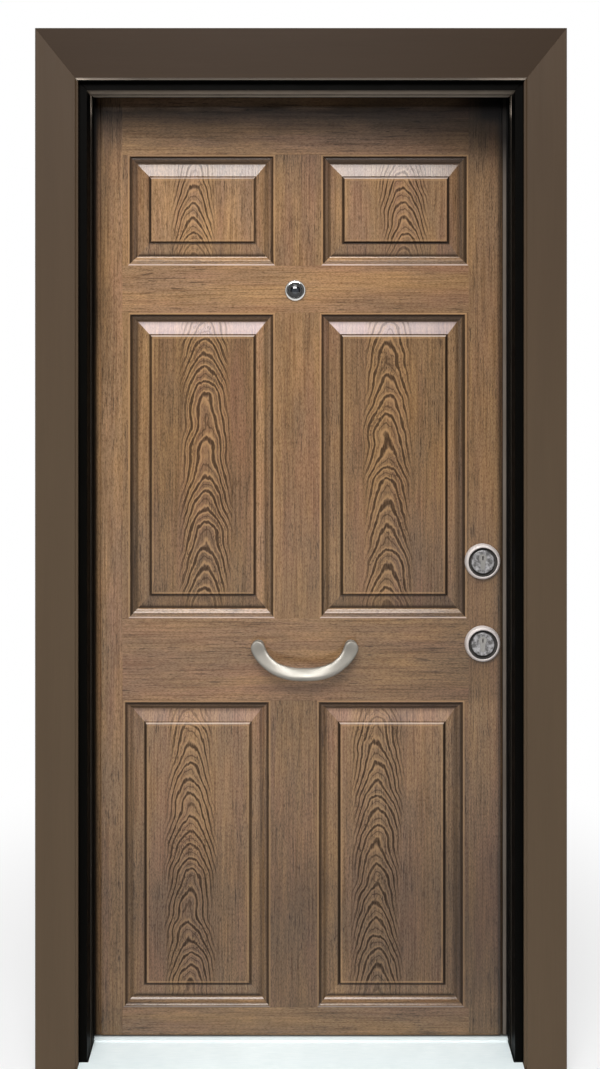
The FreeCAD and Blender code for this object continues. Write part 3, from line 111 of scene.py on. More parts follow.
class DoorColours(bpy.types.PropertyGroup):
    """Colours of the finishes"""
    oak_golden: bpy.props.FloatVectorProperty(
        name="Oak, golden", description="Warm tone of the wood-look lacquer",
        default=(0.380, 0.222, 0.102), **COLOUR)
    oak_brown: bpy.props.FloatVectorProperty(
        name="Oak, brown", description="Middle tone of the wood-look lacquer",
        default=(0.300, 0.176, 0.092), **COLOUR)
    oak_rose: bpy.props.FloatVectorProperty(
        name="Oak, reddish", description="Reddish tone of the wood-look lacquer",
        default=(0.330, 0.178, 0.104), **COLOUR)
    oak_grey: bpy.props.FloatVectorProperty(
        name="Oak, grey", description="Weathered tone of the wood-look lacquer",
        default=(0.225, 0.148, 0.090), **COLOUR)
    # this dark glaze colour is also the colour of the painted shade in the mouldings
    glaze: bpy.props.FloatVectorProperty(
        name="Dark glaze", description="Dark glaze left in grooves and grain",
        default=(0.022, 0.012, 0.006), **COLOUR)
    casing: bpy.props.FloatVectorProperty(
        name="Casing", description="Brown film on the casing boards",
        default=(0.0955, 0.065, 0.0385), **COLOUR)
    frame_black: bpy.props.FloatVectorProperty(
        name="Frame", description="Black powder coat of the steel frame",
        default=(0.0018, 0.0016, 0.0012), **COLOUR)
    # the taupe under the painted highlight on the inner returns of frame and casing
    frame_edge: bpy.props.FloatVectorProperty(
        name="Frame edge", description="Rubbed taupe edge along the inner returns of frame and casing",
        default=(0.26, 0.225, 0.185), **COLOUR)
    sill: bpy.props.FloatVectorProperty(
        name="Sill", description="Bright steel of the sill",
        default=(0.86, 0.97, 0.985), **COLOUR)
    nickel: bpy.props.FloatVectorProperty(
        name="Satin nickel", description="Satin nickel of handle, rosettes and lever",
        default=(0.350, 0.330, 0.292), **COLOUR)


def sizes():
    return bpy.context.scene.door_sizes


def colours():
    return bpy.context.scene.door_colours


# ---------------------------------------------------------------- node trees

NODE_STEP, NODES_IN_ROW = (220, -260), 9                    # how the nodes are laid out in the editor


def scaled(colour, gain):
    """A colour made lighter or darker, with no channel over 1."""
    return tuple(min(1.0, c * gain) for c in colour)


def opaque(shade):
    """A grey value or a colour with full cover; the output of a node stays as it is."""
    if isinstance(shade, bpy.types.NodeSocket):
        return shade
    return (*((shade,) * 3 if isinstance(shade, (int, float)) else tuple(shade)[:3]), 1)


class Graph:
    """Adds and joins the nodes of one tree."""

    def __init__(self, tree):
        self.tree = tree
        self.count = 0

    def add(self, kind, label="", inputs=None, **settings):
        node = self.tree.nodes.new(kind)
        node.label = label
        row, column = divmod(self.count, NODES_IN_ROW)
        node.location = (NODE_STEP[0] * column, NODE_STEP[1] * row)
        self.count += 1
        for key, value in settings.items():
            setattr(node, key, value)
        for key, value in (inputs or {}).items():
            self.put(node.inputs[key], value)
        return node

    def put(self, socket, value):
        if isinstance(value, bpy.types.NodeSocket):
            self.tree.links.new(value, socket)
        else:
            socket.default_value = value

    def math(self, operation, *values, clamp=False):
        node = self.add("ShaderNodeMath", operation=operation, use_clamp=clamp)
        for socket, value in zip(node.inputs, values):
            self.put(socket, value)
        return node.outputs[0]

    def chain(self, operation, first, *others):
        for other in others:
            first = self.math(operation, first, other)
        return first

    times = partialmethod(chain, "MULTIPLY")
    plus = partialmethod(chain, "ADD")
    larger = partialmethod(chain, "MAXIMUM")

    def map(self, value, from_low, from_high, to_low=0.0, to_high=1.0, smooth=False):
        return self.add("ShaderNodeMapRange", interpolation_type="SMOOTHSTEP" if smooth else "LINEAR", inputs={
            "Value": value, "From Min": from_low, "From Max": from_high, "To Min": to_low, "To Max": to_high,
        }).outputs["Result"]

    def vector(self, x, y, z):
        return self.add("ShaderNodeCombineXYZ", inputs={"X": x, "Y": y, "Z": z}).outputs[0]

    def split(self, vector):
        return self.add("ShaderNodeSeparateXYZ", inputs={0: vector}).outputs

    def noise(self, vector, scale=1.0, detail=2.0, rough=0.5, distortion=0.0):
        return self.add("ShaderNodeTexNoise", inputs={
            "Vector": vector, "Scale": scale, "Detail": detail, "Roughness": rough, "Distortion": distortion,
        }).outputs["Fac"]

    def fibres(self, lie, wide, long, detail=2.0, rough=0.5, offset=0.0, distortion=0.0):
        """Noise squeezed across and along a board; lie is the place across and along it, and the board's seed."""
        across, along, seed = lie
        seed = self.plus(seed, offset) if offset else seed
        place = self.vector(self.times(across, wide), self.times(along, long), seed)
        return self.noise(place, 1.0, detail, rough, distortion)

    def ramp(self, value, *stops, easing="LINEAR"):
        """stops are (place 0 to 1, grey value or colour)."""
        node = self.add("ShaderNodeValToRGB", inputs={"Fac": value})
        node.color_ramp.interpolation = easing
        elements = node.color_ramp.elements
        while len(elements) < len(stops):
            elements.new(0.5)
        for element, (place, _) in zip(elements, stops):
            element.position = place
        for element, (_, shade) in zip(elements, stops):
            element.color = opaque(shade)
        return node.outputs["Color"]

    def mix(self, factor, a, b, blend="MIX"):
        return self.add("ShaderNodeMix", data_type="RGBA", blend_type=blend,
                        inputs={0: factor, 6: opaque(a), 7: opaque(b)}).outputs[2]

    def tint(self, base, *shades):
        for shade in shades:
            base = self.mix(1.0, base, shade, "MULTIPLY")
        return base

    def blend(self, factor, a, b):
        return self.add("ShaderNodeMixShader", inputs={0: factor, 1: a, 2: b}).outputs[0]

    def group(self, tree, **values):
        return self.add("ShaderNodeGroup", label=tree.name, node_tree=tree, inputs=values).outputs

    def attribute(self, name):
        return self.add("ShaderNodeAttribute", attribute_name=name).outputs

    def seen_by(self, *kinds):
        """1 for the kinds of ray that look straight at the surface, 0 for the light it gives off."""
        path = self.add("ShaderNodeLightPath").outputs
        seen, *others = [path["Is " + kind + " Ray"] for kind in kinds]
        for ray in others:
            seen = self.math("ADD", seen, ray, clamp=True)
        return seen


def shader_group(outputs, **inputs):
    """Turns a function that fills a tree into one that gives its group, built once and used by several finishes."""
    def wrap(fill):
        def shared():
            name = fill.__name__
            if name in bpy.data.node_groups:
                return bpy.data.node_groups[name]
            tree = bpy.data.node_groups.new(name, "ShaderNodeTree")
            for label, default in inputs.items():
                kind = "NodeSocketFloat" if isinstance(default, float) else "NodeSocketVector"
                socket = tree.interface.new_socket(name=label, in_out="INPUT", socket_type=kind)
                if default is not None:
                    socket.default_value = default
            for label in outputs.split():
                tree.interface.new_socket(name=label, in_out="OUTPUT", socket_type="NodeSocketFloat")
            graph = Graph(tree)
            made = fill(graph, graph.add("NodeGroupInput").outputs)
            graph.add("NodeGroupOutput", inputs=made)
            return tree
        return shared
    return wrap


@shader_group("Tone Streak Pores Patch Fleck", Across=0.0, Along=0.0, Board=0.0)
def board_grain(g, given):
    """Grain of one board: slow tone, fine streaks and dark open pores, along the board's length."""
    lie = given["Across"], given["Along"], g.times(given["Board"], 37.7)
    pores = g.fibres(lie, 520.0, 46.0)
    dashes = g.fibres(lie, 330.0, 17.0, rough=0.45, offset=5.0)
    patch = g.fibres(lie, 14.0, 5.0, 3.0, 0.6)
    marks = g.larger(g.map(pores, 0.61, 0.69), g.map(dashes, 0.63, 0.69))
    return {
        "Tone": g.map(g.fibres(lie, 26.0, 1.7, 4.0, 0.55), 0.32, 0.68, smooth=True),
        "Streak": g.map(g.fibres(lie, 300.0, 6.5, 3.0, 0.62, distortion=0.15), 0.30, 0.70),
        "Pores": g.times(marks, g.map(patch, 0.42, 0.60, 0.30, 1.0)),
        "Patch": g.map(patch, 0.35, 0.65),
        "Fleck": g.map(g.fibres(lie, 560.0, 170.0, 3.0, 0.62, 9.0), 0.30, 0.70),
    }


# how much of an arch's dark line has a lighter rim beside it
FLAME_RIM = ((0.0, 0.0), (0.06, 0.0), (0.14, 1.0), (0.26, 0.8), (0.42, 0.1), (1.0, 0.0))


@shader_group("Line Rim Reach", Across=0.0, Along=0.0, Board=0.0, Pitch=0.035)
def flame_figure(g, given):
    """Pointed arches of flat-sawn oak, one above the other, with steep legs on both sides."""
    across, along, shift = lie = given["Across"], given["Along"], g.times(given["Board"], 91.3)

    def sway(noise, reach):
        return g.map(noise, 0.0, 1.0, -reach, reach)
    bent = g.plus(across, sway(g.fibres(lie, 5.0, 9.0), 0.014))
    side = g.plus(g.math("ABSOLUTE", bent), sway(g.fibres(lie, 60.0, 16.0, 2.0, 0.55, 4.0), 0.003))
    side = g.math("SQRT", g.plus(g.times(side, side), 0.000004))
    rise = g.times(g.math("POWER", side, 1.86), 37.0)
    phase = g.math("DIVIDE", g.plus(along, rise), given["Pitch"])
    phase = g.plus(phase, sway(g.noise(g.vector(shift, g.times(along, 7.0), 0.0)), 1.9),
                   sway(g.fibres(lie, 95.0, 30.0), 0.24))
    away = g.math("ABSOLUTE", g.times(g.math("SUBTRACT", g.math("FRACT", phase), 0.5), 2.0))
    half = g.map(side, 0.0, 0.045, 0.13, 0.44)
    bold = g.map(away, g.math("SUBTRACT", half, 0.07), g.plus(half, 0.09), 1.0, 0.0, smooth=True)
    second = g.times(g.map(away, 0.86, 0.97, 0.0, 0.75, smooth=True), g.map(side, 0.012, 0.034, 1.0, 0.0))
    ragged = g.map(g.fibres(lie, 620.0, 60.0, rough=0.6), 0.34, 0.52, 0.55, 1.0)
    width = g.noise(g.vector(shift, g.times(along, 4.0), 3.0), detail=1.0)
    reach = g.map(g.plus(side, sway(width, 0.016)), 0.034, 0.058, 1.0, 0.0, smooth=True)
    dots, cloud = g.fibres(lie, 420.0, 150.0), g.fibres(lie, 22.0, 15.0, offset=7.0)
    pitted = g.times(g.map(dots, 0.54, 0.62), g.map(cloud, 0.52, 0.60, 0.0, 0.75))
    line = g.larger(g.times(g.larger(bold, second), ragged), pitted)
    rim = g.ramp(g.math("SUBTRACT", away, half), *FLAME_RIM)
    return {"Line": g.times(line, reach), "Rim": g.times(rim, reach), "Reach": reach}


@shader_group("Cloud Speck", Place=None)
def soft_mottle(g, given):
    """Slow cloudy change and a fine speckle, for handled metal, paint and rubber."""
    return {"Cloud": g.map(g.noise(given["Place"], 14.0, 3.0, 0.55), 0.32, 0.68),
            "Speck": g.map(g.noise(given["Place"], 900.0, 2.0, 0.6), 0.3, 0.7)}


@shader_group("Marks", Place=None, Density=(60.0, 1500.0, 1500.0))
def brush_marks(g, given):
    """Fine parallel scratches of brushed or rolled metal, along the axis that is squeezed least."""
    stretched = g.add("ShaderNodeVectorMath", operation="MULTIPLY", inputs={0: given["Place"], 1: given["Density"]})
    return {"Marks": g.map(g.noise(stretched.outputs[0], 1.0, 3.0, 0.65), 0.28, 0.72)}


# ---------------------------------------------------------------- finishes

class Finish(Graph):
    """The nodes of one material, with its Principled shader joined to the output."""

    def __init__(self, name):
        self.material = bpy.data.materials.new(name)
        self.material.use_nodes = True
        self.material.node_tree.nodes.clear()
        super().__init__(self.material.node_tree)
        self.shader = self.add("ShaderNodeBsdfPrincipled")
        self.output = self.add("ShaderNodeOutputMaterial", inputs={"Surface": self.shader.outputs[0]})
        self.here = self.add("ShaderNodeTexCoord").outputs["Object"]

    def fill(self, base, rough, height=None, distance=0.0, strength=1.0, **uniform):
        """Joins colour and roughness, the relief where there is one, and the sockets named in uniform."""
        for label, value in {"Base Color": base, "Roughness": rough, **uniform}.items():
            self.put(self.shader.inputs[label.replace("_", " ")], value)
        if height is not None:
            bump = self.add("ShaderNodeBump", inputs={"Strength": strength, "Distance": distance, "Height": height})
            self.put(self.shader.inputs["Normal"], bump.outputs[0])
        return self.material

    def grain_map(self):
        """The piece's own grain map: across and along each board, and the board's number."""
        across, along, _ = self.split(self.add("ShaderNodeUVMap", uv_map="grain").outputs[0])
        return {"Across": across, "Along": along, "Board": self.attribute("board")["Fac"]}

    def mottle(self):
        return self.group(soft_mottle(), Place=self.here)

    def marks(self, *density):
        return self.group(brush_marks(), Place=self.here, Density=density)["Marks"]

    def cells(self, feature, scale):
        return self.add("ShaderNodeTexVoronoi", feature=feature, inputs={"Scale": scale, "Vector": self.here}).outputs


# tone of the single fibres and flecks
STREAKS = ((0.0, (0.68, 0.62, 0.54)), (0.5, 1.0), (1.0, (1.25, 1.24, 1.20)))
FLECKS = ((0.0, (0.60, 0.54, 0.44)), (0.5, 1.0), (1.0, (1.26, 1.25, 1.22)))
# spacing of the arches, by board number
PITCHES = ((0.0, 0.037), (0.30, 0.037), (0.31, 0.045), (0.55, 0.045), (0.56, 0.034), (1.0, 0.034))
# painted shade: the head's shadow under it, eased at the very top where the lamp's own shadow of the head falls,
# darker towards the floor, and across the leaf towards its edges
UNDER_HEAD = ((0.0, 0.98), (0.167, 0.92), (0.367, 0.82), (0.508, 0.66), (0.62, 0.43), (0.717, 0.22), (0.796, 0.11),
              (0.867, 0.068), (0.93, 0.070), (1.0, 0.06))
HEAD_SHADOW_EASE = ((0.0, 0.0), (0.2, 0.07), (0.45, 0.21), (0.8, 0.30), (1.0, 0.32))
FROM_FLOOR = ((0.0, 0.66), (0.038, 0.56), (0.07, 0.63), (0.124, 0.58), (0.20, 0.57), (0.277, 0.75), (0.36, 0.81),
              (0.424, 0.85), (0.485, 0.79), (0.56, 0.85), (0.64, 0.87), (0.75, 0.96), (0.9, 1.0), (1.0, 1.0))
ACROSS_LEAF = ((0.0, 0.05), (0.0095, 0.05), (0.0128, 0.55), (0.018, 0.82), (0.027, 0.92), (0.06, 1.0), (0.50, 0.98),
               (0.70, 0.92), (0.91, 0.84), (0.955, 0.88), (0.968, 0.80), (0.975, 0.26), (0.982, 0.26), (0.985, 1.0),
               (1.0, 1.0))
# how strongly painted shade darkens the lower lock side: low down near the sill, and the handle's shadow from just
# below it up
LOCK_SIDE = ((0.0, 0.0), (0.067, 0.0), (0.107, 0.24), (0.33, 0.24), (0.50, 0.02), (0.60, 0.0), (0.62, 0.30),
             (0.70, 0.22), (0.86, 0.18), (0.95, 0.14), (1.0, 0.14))
# zones across a moulding, from its outer edge to 50 mm inside the panel
GROOVE = ((0.0, 0.0), (0.018, 0.15), (0.045, 1.0), (0.115, 1.0), (0.150, 0.45), (0.175, 0.0))
BEAD = ((0.0, 0.0), (0.105, 0.0), (0.150, 0.78), (0.200, 0.72), (0.26, 0.95), (0.315, 1.0), (0.345, 0.75),
        (0.375, 0.0))
CREST = ((0.0, 0.0), (0.320, 0.0), (0.350, 1.0), (0.400, 1.0), (0.440, 0.30), (0.50, 0.0))
EDGE = ((0.0, 0.0), (0.725, 0.0), (0.750, 0.70), (0.770, 1.0), (0.845, 1.0), (0.870, 0.30), (0.90, 0.0))
WORN = ((0.0, 0.0), (0.865, 0.0), (0.885, 0.50), (0.925, 0.40), (0.955, 0.0), (1.0, 0.0))
# a painted dark line and a painted highlight on the step up to the field
NOTCH_SHADE = ((0.0, 0.0), (0.745, 0.0), (0.762, 1.0), (0.800, 1.0), (0.812, 0.0))
GLINT = ((0.0, 0.0), (0.800, 0.0), (0.815, 1.0), (0.845, 1.0), (0.865, 0.0))
INSIDE_FROM = (0.020, 0.030)                                # depth over which the painted shade of the front ends
# the lighter line round each panel, a painted highlight along its bottom side, and the strip of bare steel beside the
# skin, in painted shadow at its two sides
RING = ((0.0, 0.0), (0.15, 0.0), (0.32, 1.0), (0.85, 1.0), (1.0, 0.0))
BARE_STRIP = ((0.0, 0.0), (0.10, 0.0), (0.18, 1.0), (0.76, 1.0), (0.90, 0.0), (1.0, 0.0))


# colours of painted highlights: on the top bevels, on the line under each panel and on the step up to the field
PALE_BEVEL, PALE_LINE, PALE_GLINT = (0.585, 0.525, 0.60), (0.66, 0.52, 0.45), (0.60, 0.48, 0.40)
BARE_STEEL, BARE_STEEL_CLEAN, BARE_SHADOW = (0.13, 0.108, 0.088), (0.17, 0.145, 0.122), (0.004, 0.0035, 0.003)


def wood_lacquer(name):
    """Wood-look lacquer baked on the steel skins: oak under dark glaze with dark grooves, and painted shade and
    highlights over it. Reads the piece's own grain map.
    """
    g, oak = Finish(name), colours()
    lie = g.grain_map()
    inset, figured = g.attribute("inset")["Fac"], g.attribute("figured")["Fac"]
    grain = g.group(board_grain(), **lie)
    flame = g.group(flame_figure(), **lie, Pitch=g.ramp(lie["Board"], *PITCHES, easing="CONSTANT"))

    hue = g.fibres((lie["Across"], lie["Along"], g.times(lie["Board"], 53.0)), 9.0, 3.0, 3.0, 0.6)
    base = g.mix(g.map(hue, 0.36, 0.64, smooth=True), oak.oak_brown, oak.oak_rose)
    base = g.mix(grain["Tone"], base, oak.oak_golden)
    base = g.mix(g.times(grain["Patch"], 0.60), base, oak.oak_grey)
    base = g.tint(base, g.ramp(grain["Streak"], *STREAKS), g.ramp(grain["Fleck"], *FLECKS))
    base = g.mix(g.times(grain["Pores"], 0.78), base, scaled(oak.glaze, 2.2))
    lift = g.attribute("lift")
    base = g.mix(g.map(lift["Fac"], 1.25, 1.50, 0.0, 0.52), g.tint(base, lift["Color"]), PALE_BEVEL)
    line, rim = g.times(flame["Line"], figured), g.times(flame["Rim"], figured)
    base = g.mix(g.times(rim, 0.60), base, scaled(oak.oak_golden, 1.35))
    base = g.mix(g.times(line, 0.92), base, scaled(oak.glaze, 2.4))

    # painted shade over the leaf: the head's shadow, shade along the lock side with the handle's shadow,
    # at the hinge edge and in the top corner, and darker towards the floor
    x, y, z = g.split(g.here)
    indoors, outdoors = g.map(y, *INSIDE_FROM), g.map(y, *INSIDE_FROM, 1.0, 0.0)
    fog = g.noise(g.vector(g.times(x, 6.0), 0.0, g.times(z, 6.0)), 1.0, 3.0, 0.6)
    height = g.plus(z, g.times(g.map(fog, 0.0, 1.0, -0.5, 0.5), 0.04))
    tilted = g.plus(height, g.map(x, -0.42, 0.42, -0.006, 0.020), g.map(x, 0.33, 0.41, 0.0, 0.020))
    shadow_ease = g.times(g.map(x, -0.05, 0.12, 1.0, 0.62), g.map(x, 0.31, 0.38, 1.0, 0.0),
                    g.ramp(g.map(height, 1.965, 2.0), *HEAD_SHADOW_EASE))
    upper = g.mix(indoors, g.larger(g.ramp(g.map(tilted, 1.76, 2.0), *UNDER_HEAD), shadow_ease), 0.95)
    lower = g.ramp(g.map(height, 0.0, 1.65), *FROM_FLOOR)
    lock_side = g.times(g.map(x, 0.05, 0.36), g.ramp(g.map(z, 0.0, 1.2), *LOCK_SIDE))
    # painted shadow along the upper hinge edge, and in the top corner on the lock side
    hinge_edge = g.times(g.map(x, -0.415, -0.375, 0.36, 0.0), g.map(z, 1.35, 1.55))
    top_corner = g.times(g.map(x, 0.355, 0.385), g.map(z, 1.934, 1.960, 0.0, 0.91))
    # all three are painted shade, mixed towards black
    painted_shade = g.larger(lock_side, g.larger(hinge_edge, top_corner))
    base = g.mix(g.times(painted_shade, outdoors), base, 0.0)
    shades = upper, lower, g.ramp(g.map(x, -0.44, 0.44), *ACROSS_LEAF)
    base = g.tint(base, *[g.mix(indoors, shade, 0.97) for shade in shades])

    # glaze, wear, painted shade and painted highlight that follow the mouldings
    place = g.map(inset, 0.0, 0.05)
    in_groove, on_bead, on_crest = g.split(g.attribute("glaze_and_shade")["Vector"])
    worn = g.times(g.ramp(place, *WORN), g.map(grain["Patch"], 0.0, 1.0, 0.80, 0.45))
    base = g.mix(worn, base, scaled(oak.oak_golden, 1.35))
    # the lighter line round the panel is a painted highlight where it faces up, under the panel, under the leaf's
    # painted shade
    ring = g.times(g.ramp(g.map(inset, -0.003, 0.001), *RING), g.map(grain["Patch"], 0.0, 1.0, 0.95, 0.65))
    sunny = g.map(in_groove, 0.50, 0.80, 1.0, 0.0)
    ring_colour = g.mix(sunny, scaled(oak.oak_golden, 1.05), PALE_LINE)
    base = g.mix(ring, base, g.tint(ring_colour, g.mix(sunny, 1.0, lift["Color"]), upper, lower))
    step = g.attribute("edge_shade_and_glint")["Fac"]
    dull = line
    for zone, gain in ((GROOVE, in_groove), (BEAD, on_bead), (CREST, on_crest), (EDGE, g.larger(step, 0.0))):
        dark = g.times(g.ramp(place, *zone), gain)
        dull = g.larger(dull, dark)
        base = g.mix(dark, base, oak.glaze)
    # painted shade: the dark line before the step up to the field
    base = g.mix(g.times(g.ramp(place, *NOTCH_SHADE), g.map(step, -0.55, -0.90, 0.0, 0.85)), base, oak.glaze)
    # painted highlight on the step up to the field
    glint = g.times(g.ramp(place, *GLINT), g.larger(g.times(step, -1.0), 0.0))
    base = g.mix(glint, base, PALE_GLINT)

    # bare steel edge of the leaf beside the lock side of the skin
    steel = g.mix(grain["Patch"], BARE_STEEL, BARE_STEEL_CLEAN)
    bare = g.mix(g.ramp(g.map(x, 0.424, 0.434), *BARE_STRIP), BARE_SHADOW, steel)
    base = g.mix(g.times(g.map(x, 0.4236, 0.4246), outdoors), base, g.tint(bare, upper))

    rough = g.plus(g.ramp(grain["Streak"], (0.0, 0.52), (1.0, 0.38)), g.times(line, 0.15))
    sheen = g.times(g.map(dull, 0.0, 1.0, 0.74, 0.16), g.map(upper, 0.10, 0.50, 0.10, 1.0),
                    g.map(g.math("ABSOLUTE", x), 0.4192, 0.4205, 1.0, 0.05))
    relief = g.plus(g.times(grain["Streak"], 0.12), g.times(grain["Pores"], -0.35), g.times(line, -1.0))
    return g.fill(base, rough, relief, 0.00050, 0.85, Coat_Weight=sheen, Coat_Roughness=0.17, Specular_IOR_Level=0.08)


# painted shade: the head board darker than the upright ones, as it faces a little down, and the casing darker
# towards the top, where the lamp lights it more
HEAD_BOARD_SHADE = ((0.0, (0.635, 0.60, 0.59)), (0.1, (0.635, 0.60, 0.59)), (0.11, 1.0), (1.0, 1.0))
CASING_SHADE = ((0.0, 1.08), (0.15, 1.03), (0.30, 0.96), (0.45, 0.90), (0.60, 0.80), (0.75, (0.70, 0.675, 0.655)),
               (0.87, (0.605, 0.570, 0.530)), (1.0, (0.535, 0.490, 0.435)))


def wood_casing(name):
    """Brown film of even colour on the casing boards, faint grain along each board, soft sheen; painted shade darkens
    the head board and the casing towards the top.
    """
    g, brown = Finish(name), colours().casing
    lie = g.grain_map()
    grain = g.group(board_grain(), **lie)
    base = g.tint(g.mix(grain["Tone"], scaled(brown, 0.97), scaled(brown, 1.03)),
                  g.ramp(grain["Streak"], (0.0, 0.975), (1.0, 1.02)),
                  g.ramp(lie["Board"], *HEAD_BOARD_SHADE, easing="CONSTANT"),
                  g.ramp(g.map(g.split(g.here)[2], 0.0, 2.1), *CASING_SHADE))
    rough = g.ramp(grain["Streak"], (0.0, 0.58), (1.0, 0.52))
    relief = g.plus(g.times(grain["Streak"], 0.5), g.times(grain["Pores"], -0.4))
    return g.fill(base, rough, relief, 0.00012, 0.6, Specular_IOR_Level=0.16)


# painted highlight on the uprights, rising towards the head, and how bright the painted highlight on the lip is from
# the left corner to the right one
UPRIGHT_HIGHLIGHT = ((0.0, 0.085), (0.60, 0.090), (0.78, 0.12), (0.86, 0.40), (0.93, 1.0), (1.0, 1.0))
LIP_HIGHLIGHT = ((0.0, 3.0), (0.020, 2.9), (0.036, 1.75), (0.09, 1.40), (0.14, 0.84), (0.86, 0.84), (0.91, 1.35), (0.96, 1.75),
       (1.0, 1.85))


def rubbed_edge(name):
    """Taupe finish along the inner returns of frame and casing under a painted highlight, strongest in the upper
    corners and fading down the uprights.
    """
    g, taupe = Finish(name), colours().frame_edge
    x, y, z = g.split(g.here)
    blotch = g.noise(g.here, 26.0, 3.0, 0.6)
    height = g.plus(z, g.map(blotch, 0.0, 1.0, -0.05, 0.05))
    strength = g.times(g.ramp(g.map(height, 1.70, 2.0), *UPRIGHT_HIGHLIGHT), g.map(blotch, 0.3, 0.7, 0.85, 1.15),
                       g.times(g.map(y, -0.039, -0.031), g.map(y, -0.0300, -0.0292, 1.0, 0.0)))
    base = g.mix(strength, (0.002, 0.002, 0.0018), scaled(taupe, 3.6))
    soffit = g.mix(g.map(blotch, 0.3, 0.7), scaled(taupe, 1.15), scaled(taupe, 1.45))
    base = g.mix(g.map(z, 1.9985, 1.9992), base, g.mix(g.map(y, -0.074, -0.052), scaled(taupe, 0.35), soffit))
    lip = g.tint(taupe, g.ramp(g.map(x, -0.46, 0.46), *LIP_HIGHLIGHT))
    base = g.mix(g.map(y, -0.0802, -0.0795, 1.0, 0.0), base, lip)
    return g.fill(base, g.map(blotch, 0.3, 0.7, 0.40, 0.54), g.noise(g.here, 2200.0), 0.00004, 0.4,
                  Specular_IOR_Level=0.02)


def painted(name, colour, rough, grainy, coat=0.0, primer=None):
    """Powder coat or paint with a fine orange-peel skin; the primer shows on the sides that face wall and room."""
    g = Finish(name)
    cloud = g.mottle()["Cloud"]
    base = g.mix(cloud, scaled(colour, 0.86), scaled(colour, 1.14))
    if primer:
        x, y, z = g.split(g.here)
        unseen = g.larger(g.map(y, -0.004, 0.004), g.map(g.math("ABSOLUTE", x), 0.4560, 0.4570),
                          g.map(z, 2.0290, 2.0300))
        base = g.mix(unseen, base, g.mix(cloud, scaled(primer, 0.88), scaled(primer, 1.12)))
    return g.fill(base, g.map(cloud, 0.0, 1.0, rough - 0.05, rough + 0.06), g.noise(g.here, 2600.0), grainy, 0.5,
                  Specular_IOR_Level=0.03, Coat_Weight=coat)


def brushed(name, colour, rough, density, depth, metallic=1.0, spread=0.10):
    """Brushed, rolled or plated metal with marks along one axis and soft clouding."""
    g = Finish(name)
    marks, cloud = g.marks(*density), g.mottle()["Cloud"]
    base = g.mix(marks, scaled(colour, 0.90), scaled(colour, 1.08))
    base = g.mix(g.times(cloud, 0.35), base, scaled(colour, 0.82))
    wear = g.plus(g.times(marks, spread), g.times(cloud, spread), rough)
    return g.fill(base, wear, marks, depth, 0.6, Metallic=metallic)


def zinc_steel(name):
    """Bright zinc plate with its faint crystal clouding."""
    g = Finish(name)
    spangle, marks = g.split(g.cells("F1", 90.0)["Color"])[0], g.marks(1100.0, 1100.0, 90.0)
    base = g.mix(spangle, (0.50, 0.52, 0.54), (0.64, 0.65, 0.66))
    base = g.mix(g.times(marks, 0.25), base, (0.44, 0.45, 0.46))
    return g.fill(base, g.map(spangle, 0.0, 1.0, 0.30, 0.42), marks, 0.00004, 0.4, Metallic=1.0)


def cylinder_brass(name):
    """Nickelled brass of the key cylinders, dulled round the keyway."""
    g = Finish(name)
    marks = g.marks(900.0, 900.0, 120.0)
    base = g.mix(g.mottle()["Cloud"], (0.40, 0.385, 0.36), (0.52, 0.50, 0.47))
    base = g.mix(g.times(marks, 0.4), base, (0.28, 0.265, 0.25))
    return g.fill(base, g.map(marks, 0.0, 1.0, 0.26, 0.40), marks, 0.00004, 0.5, Metallic=1.0)


def disc_metal(name):
    """Grey face of the lock discs under a dull, blotchy patina."""
    g = Finish(name)
    patina = g.noise(g.here, 130.0, 4.0, 0.62, 0.3)
    base = g.mix(g.map(patina, 0.38, 0.64, smooth=True), (0.16, 0.155, 0.15), (0.66, 0.645, 0.65))
    base = g.mix(g.times(g.mottle()["Speck"], 0.3), base, (0.32, 0.31, 0.31))
    return g.fill(base, g.map(patina, 0.3, 0.7, 0.34, 0.56), patina, 0.00010, 0.6, Metallic=1.0)


def lens_glass(name):
    """Lens of the viewer, tinted almost black as painted shade for the dark inside seen through it, very faintly
    clouded, under a thin hard coat.
    """
    g = Finish(name)
    mottle = g.mottle()
    base = g.mix(mottle["Cloud"], (0.030, 0.034, 0.040), (0.045, 0.050, 0.058))
    return g.fill(base, g.map(mottle["Speck"], 0.0, 1.0, 0.02, 0.05), IOR=1.52, Transmission_Weight=1.0,
                  Coat_Weight=0.5, Coat_Roughness=0.03)


def rubber(name):
    """Black sealing rubber with talc left in its pores."""
    g = Finish(name)
    mottle = g.mottle()
    base = g.mix(mottle["Cloud"], (0.004, 0.004, 0.004), (0.008, 0.008, 0.0075))
    return g.fill(g.mix(g.times(mottle["Speck"], 0.06), base, 0.06), g.map(mottle["Cloud"], 0.0, 1.0, 0.62, 0.80),
                  g.noise(g.here, 1800.0), 0.00006, 0.6, Specular_IOR_Level=0.12)


def foam(name):
    """Cream insulation foam with open cells."""
    g = Finish(name)
    wall = g.map(g.cells("DISTANCE_TO_EDGE", 420.0)["Distance"], 0.0, 0.25)
    base = g.mix(g.mottle()["Cloud"], (0.66, 0.58, 0.40), (0.74, 0.67, 0.50))
    return g.fill(g.mix(g.times(wall, 0.3), base, (0.50, 0.42, 0.28)), g.map(wall, 0.0, 1.0, 0.80, 0.92),
                  wall, -0.0006, 0.5)


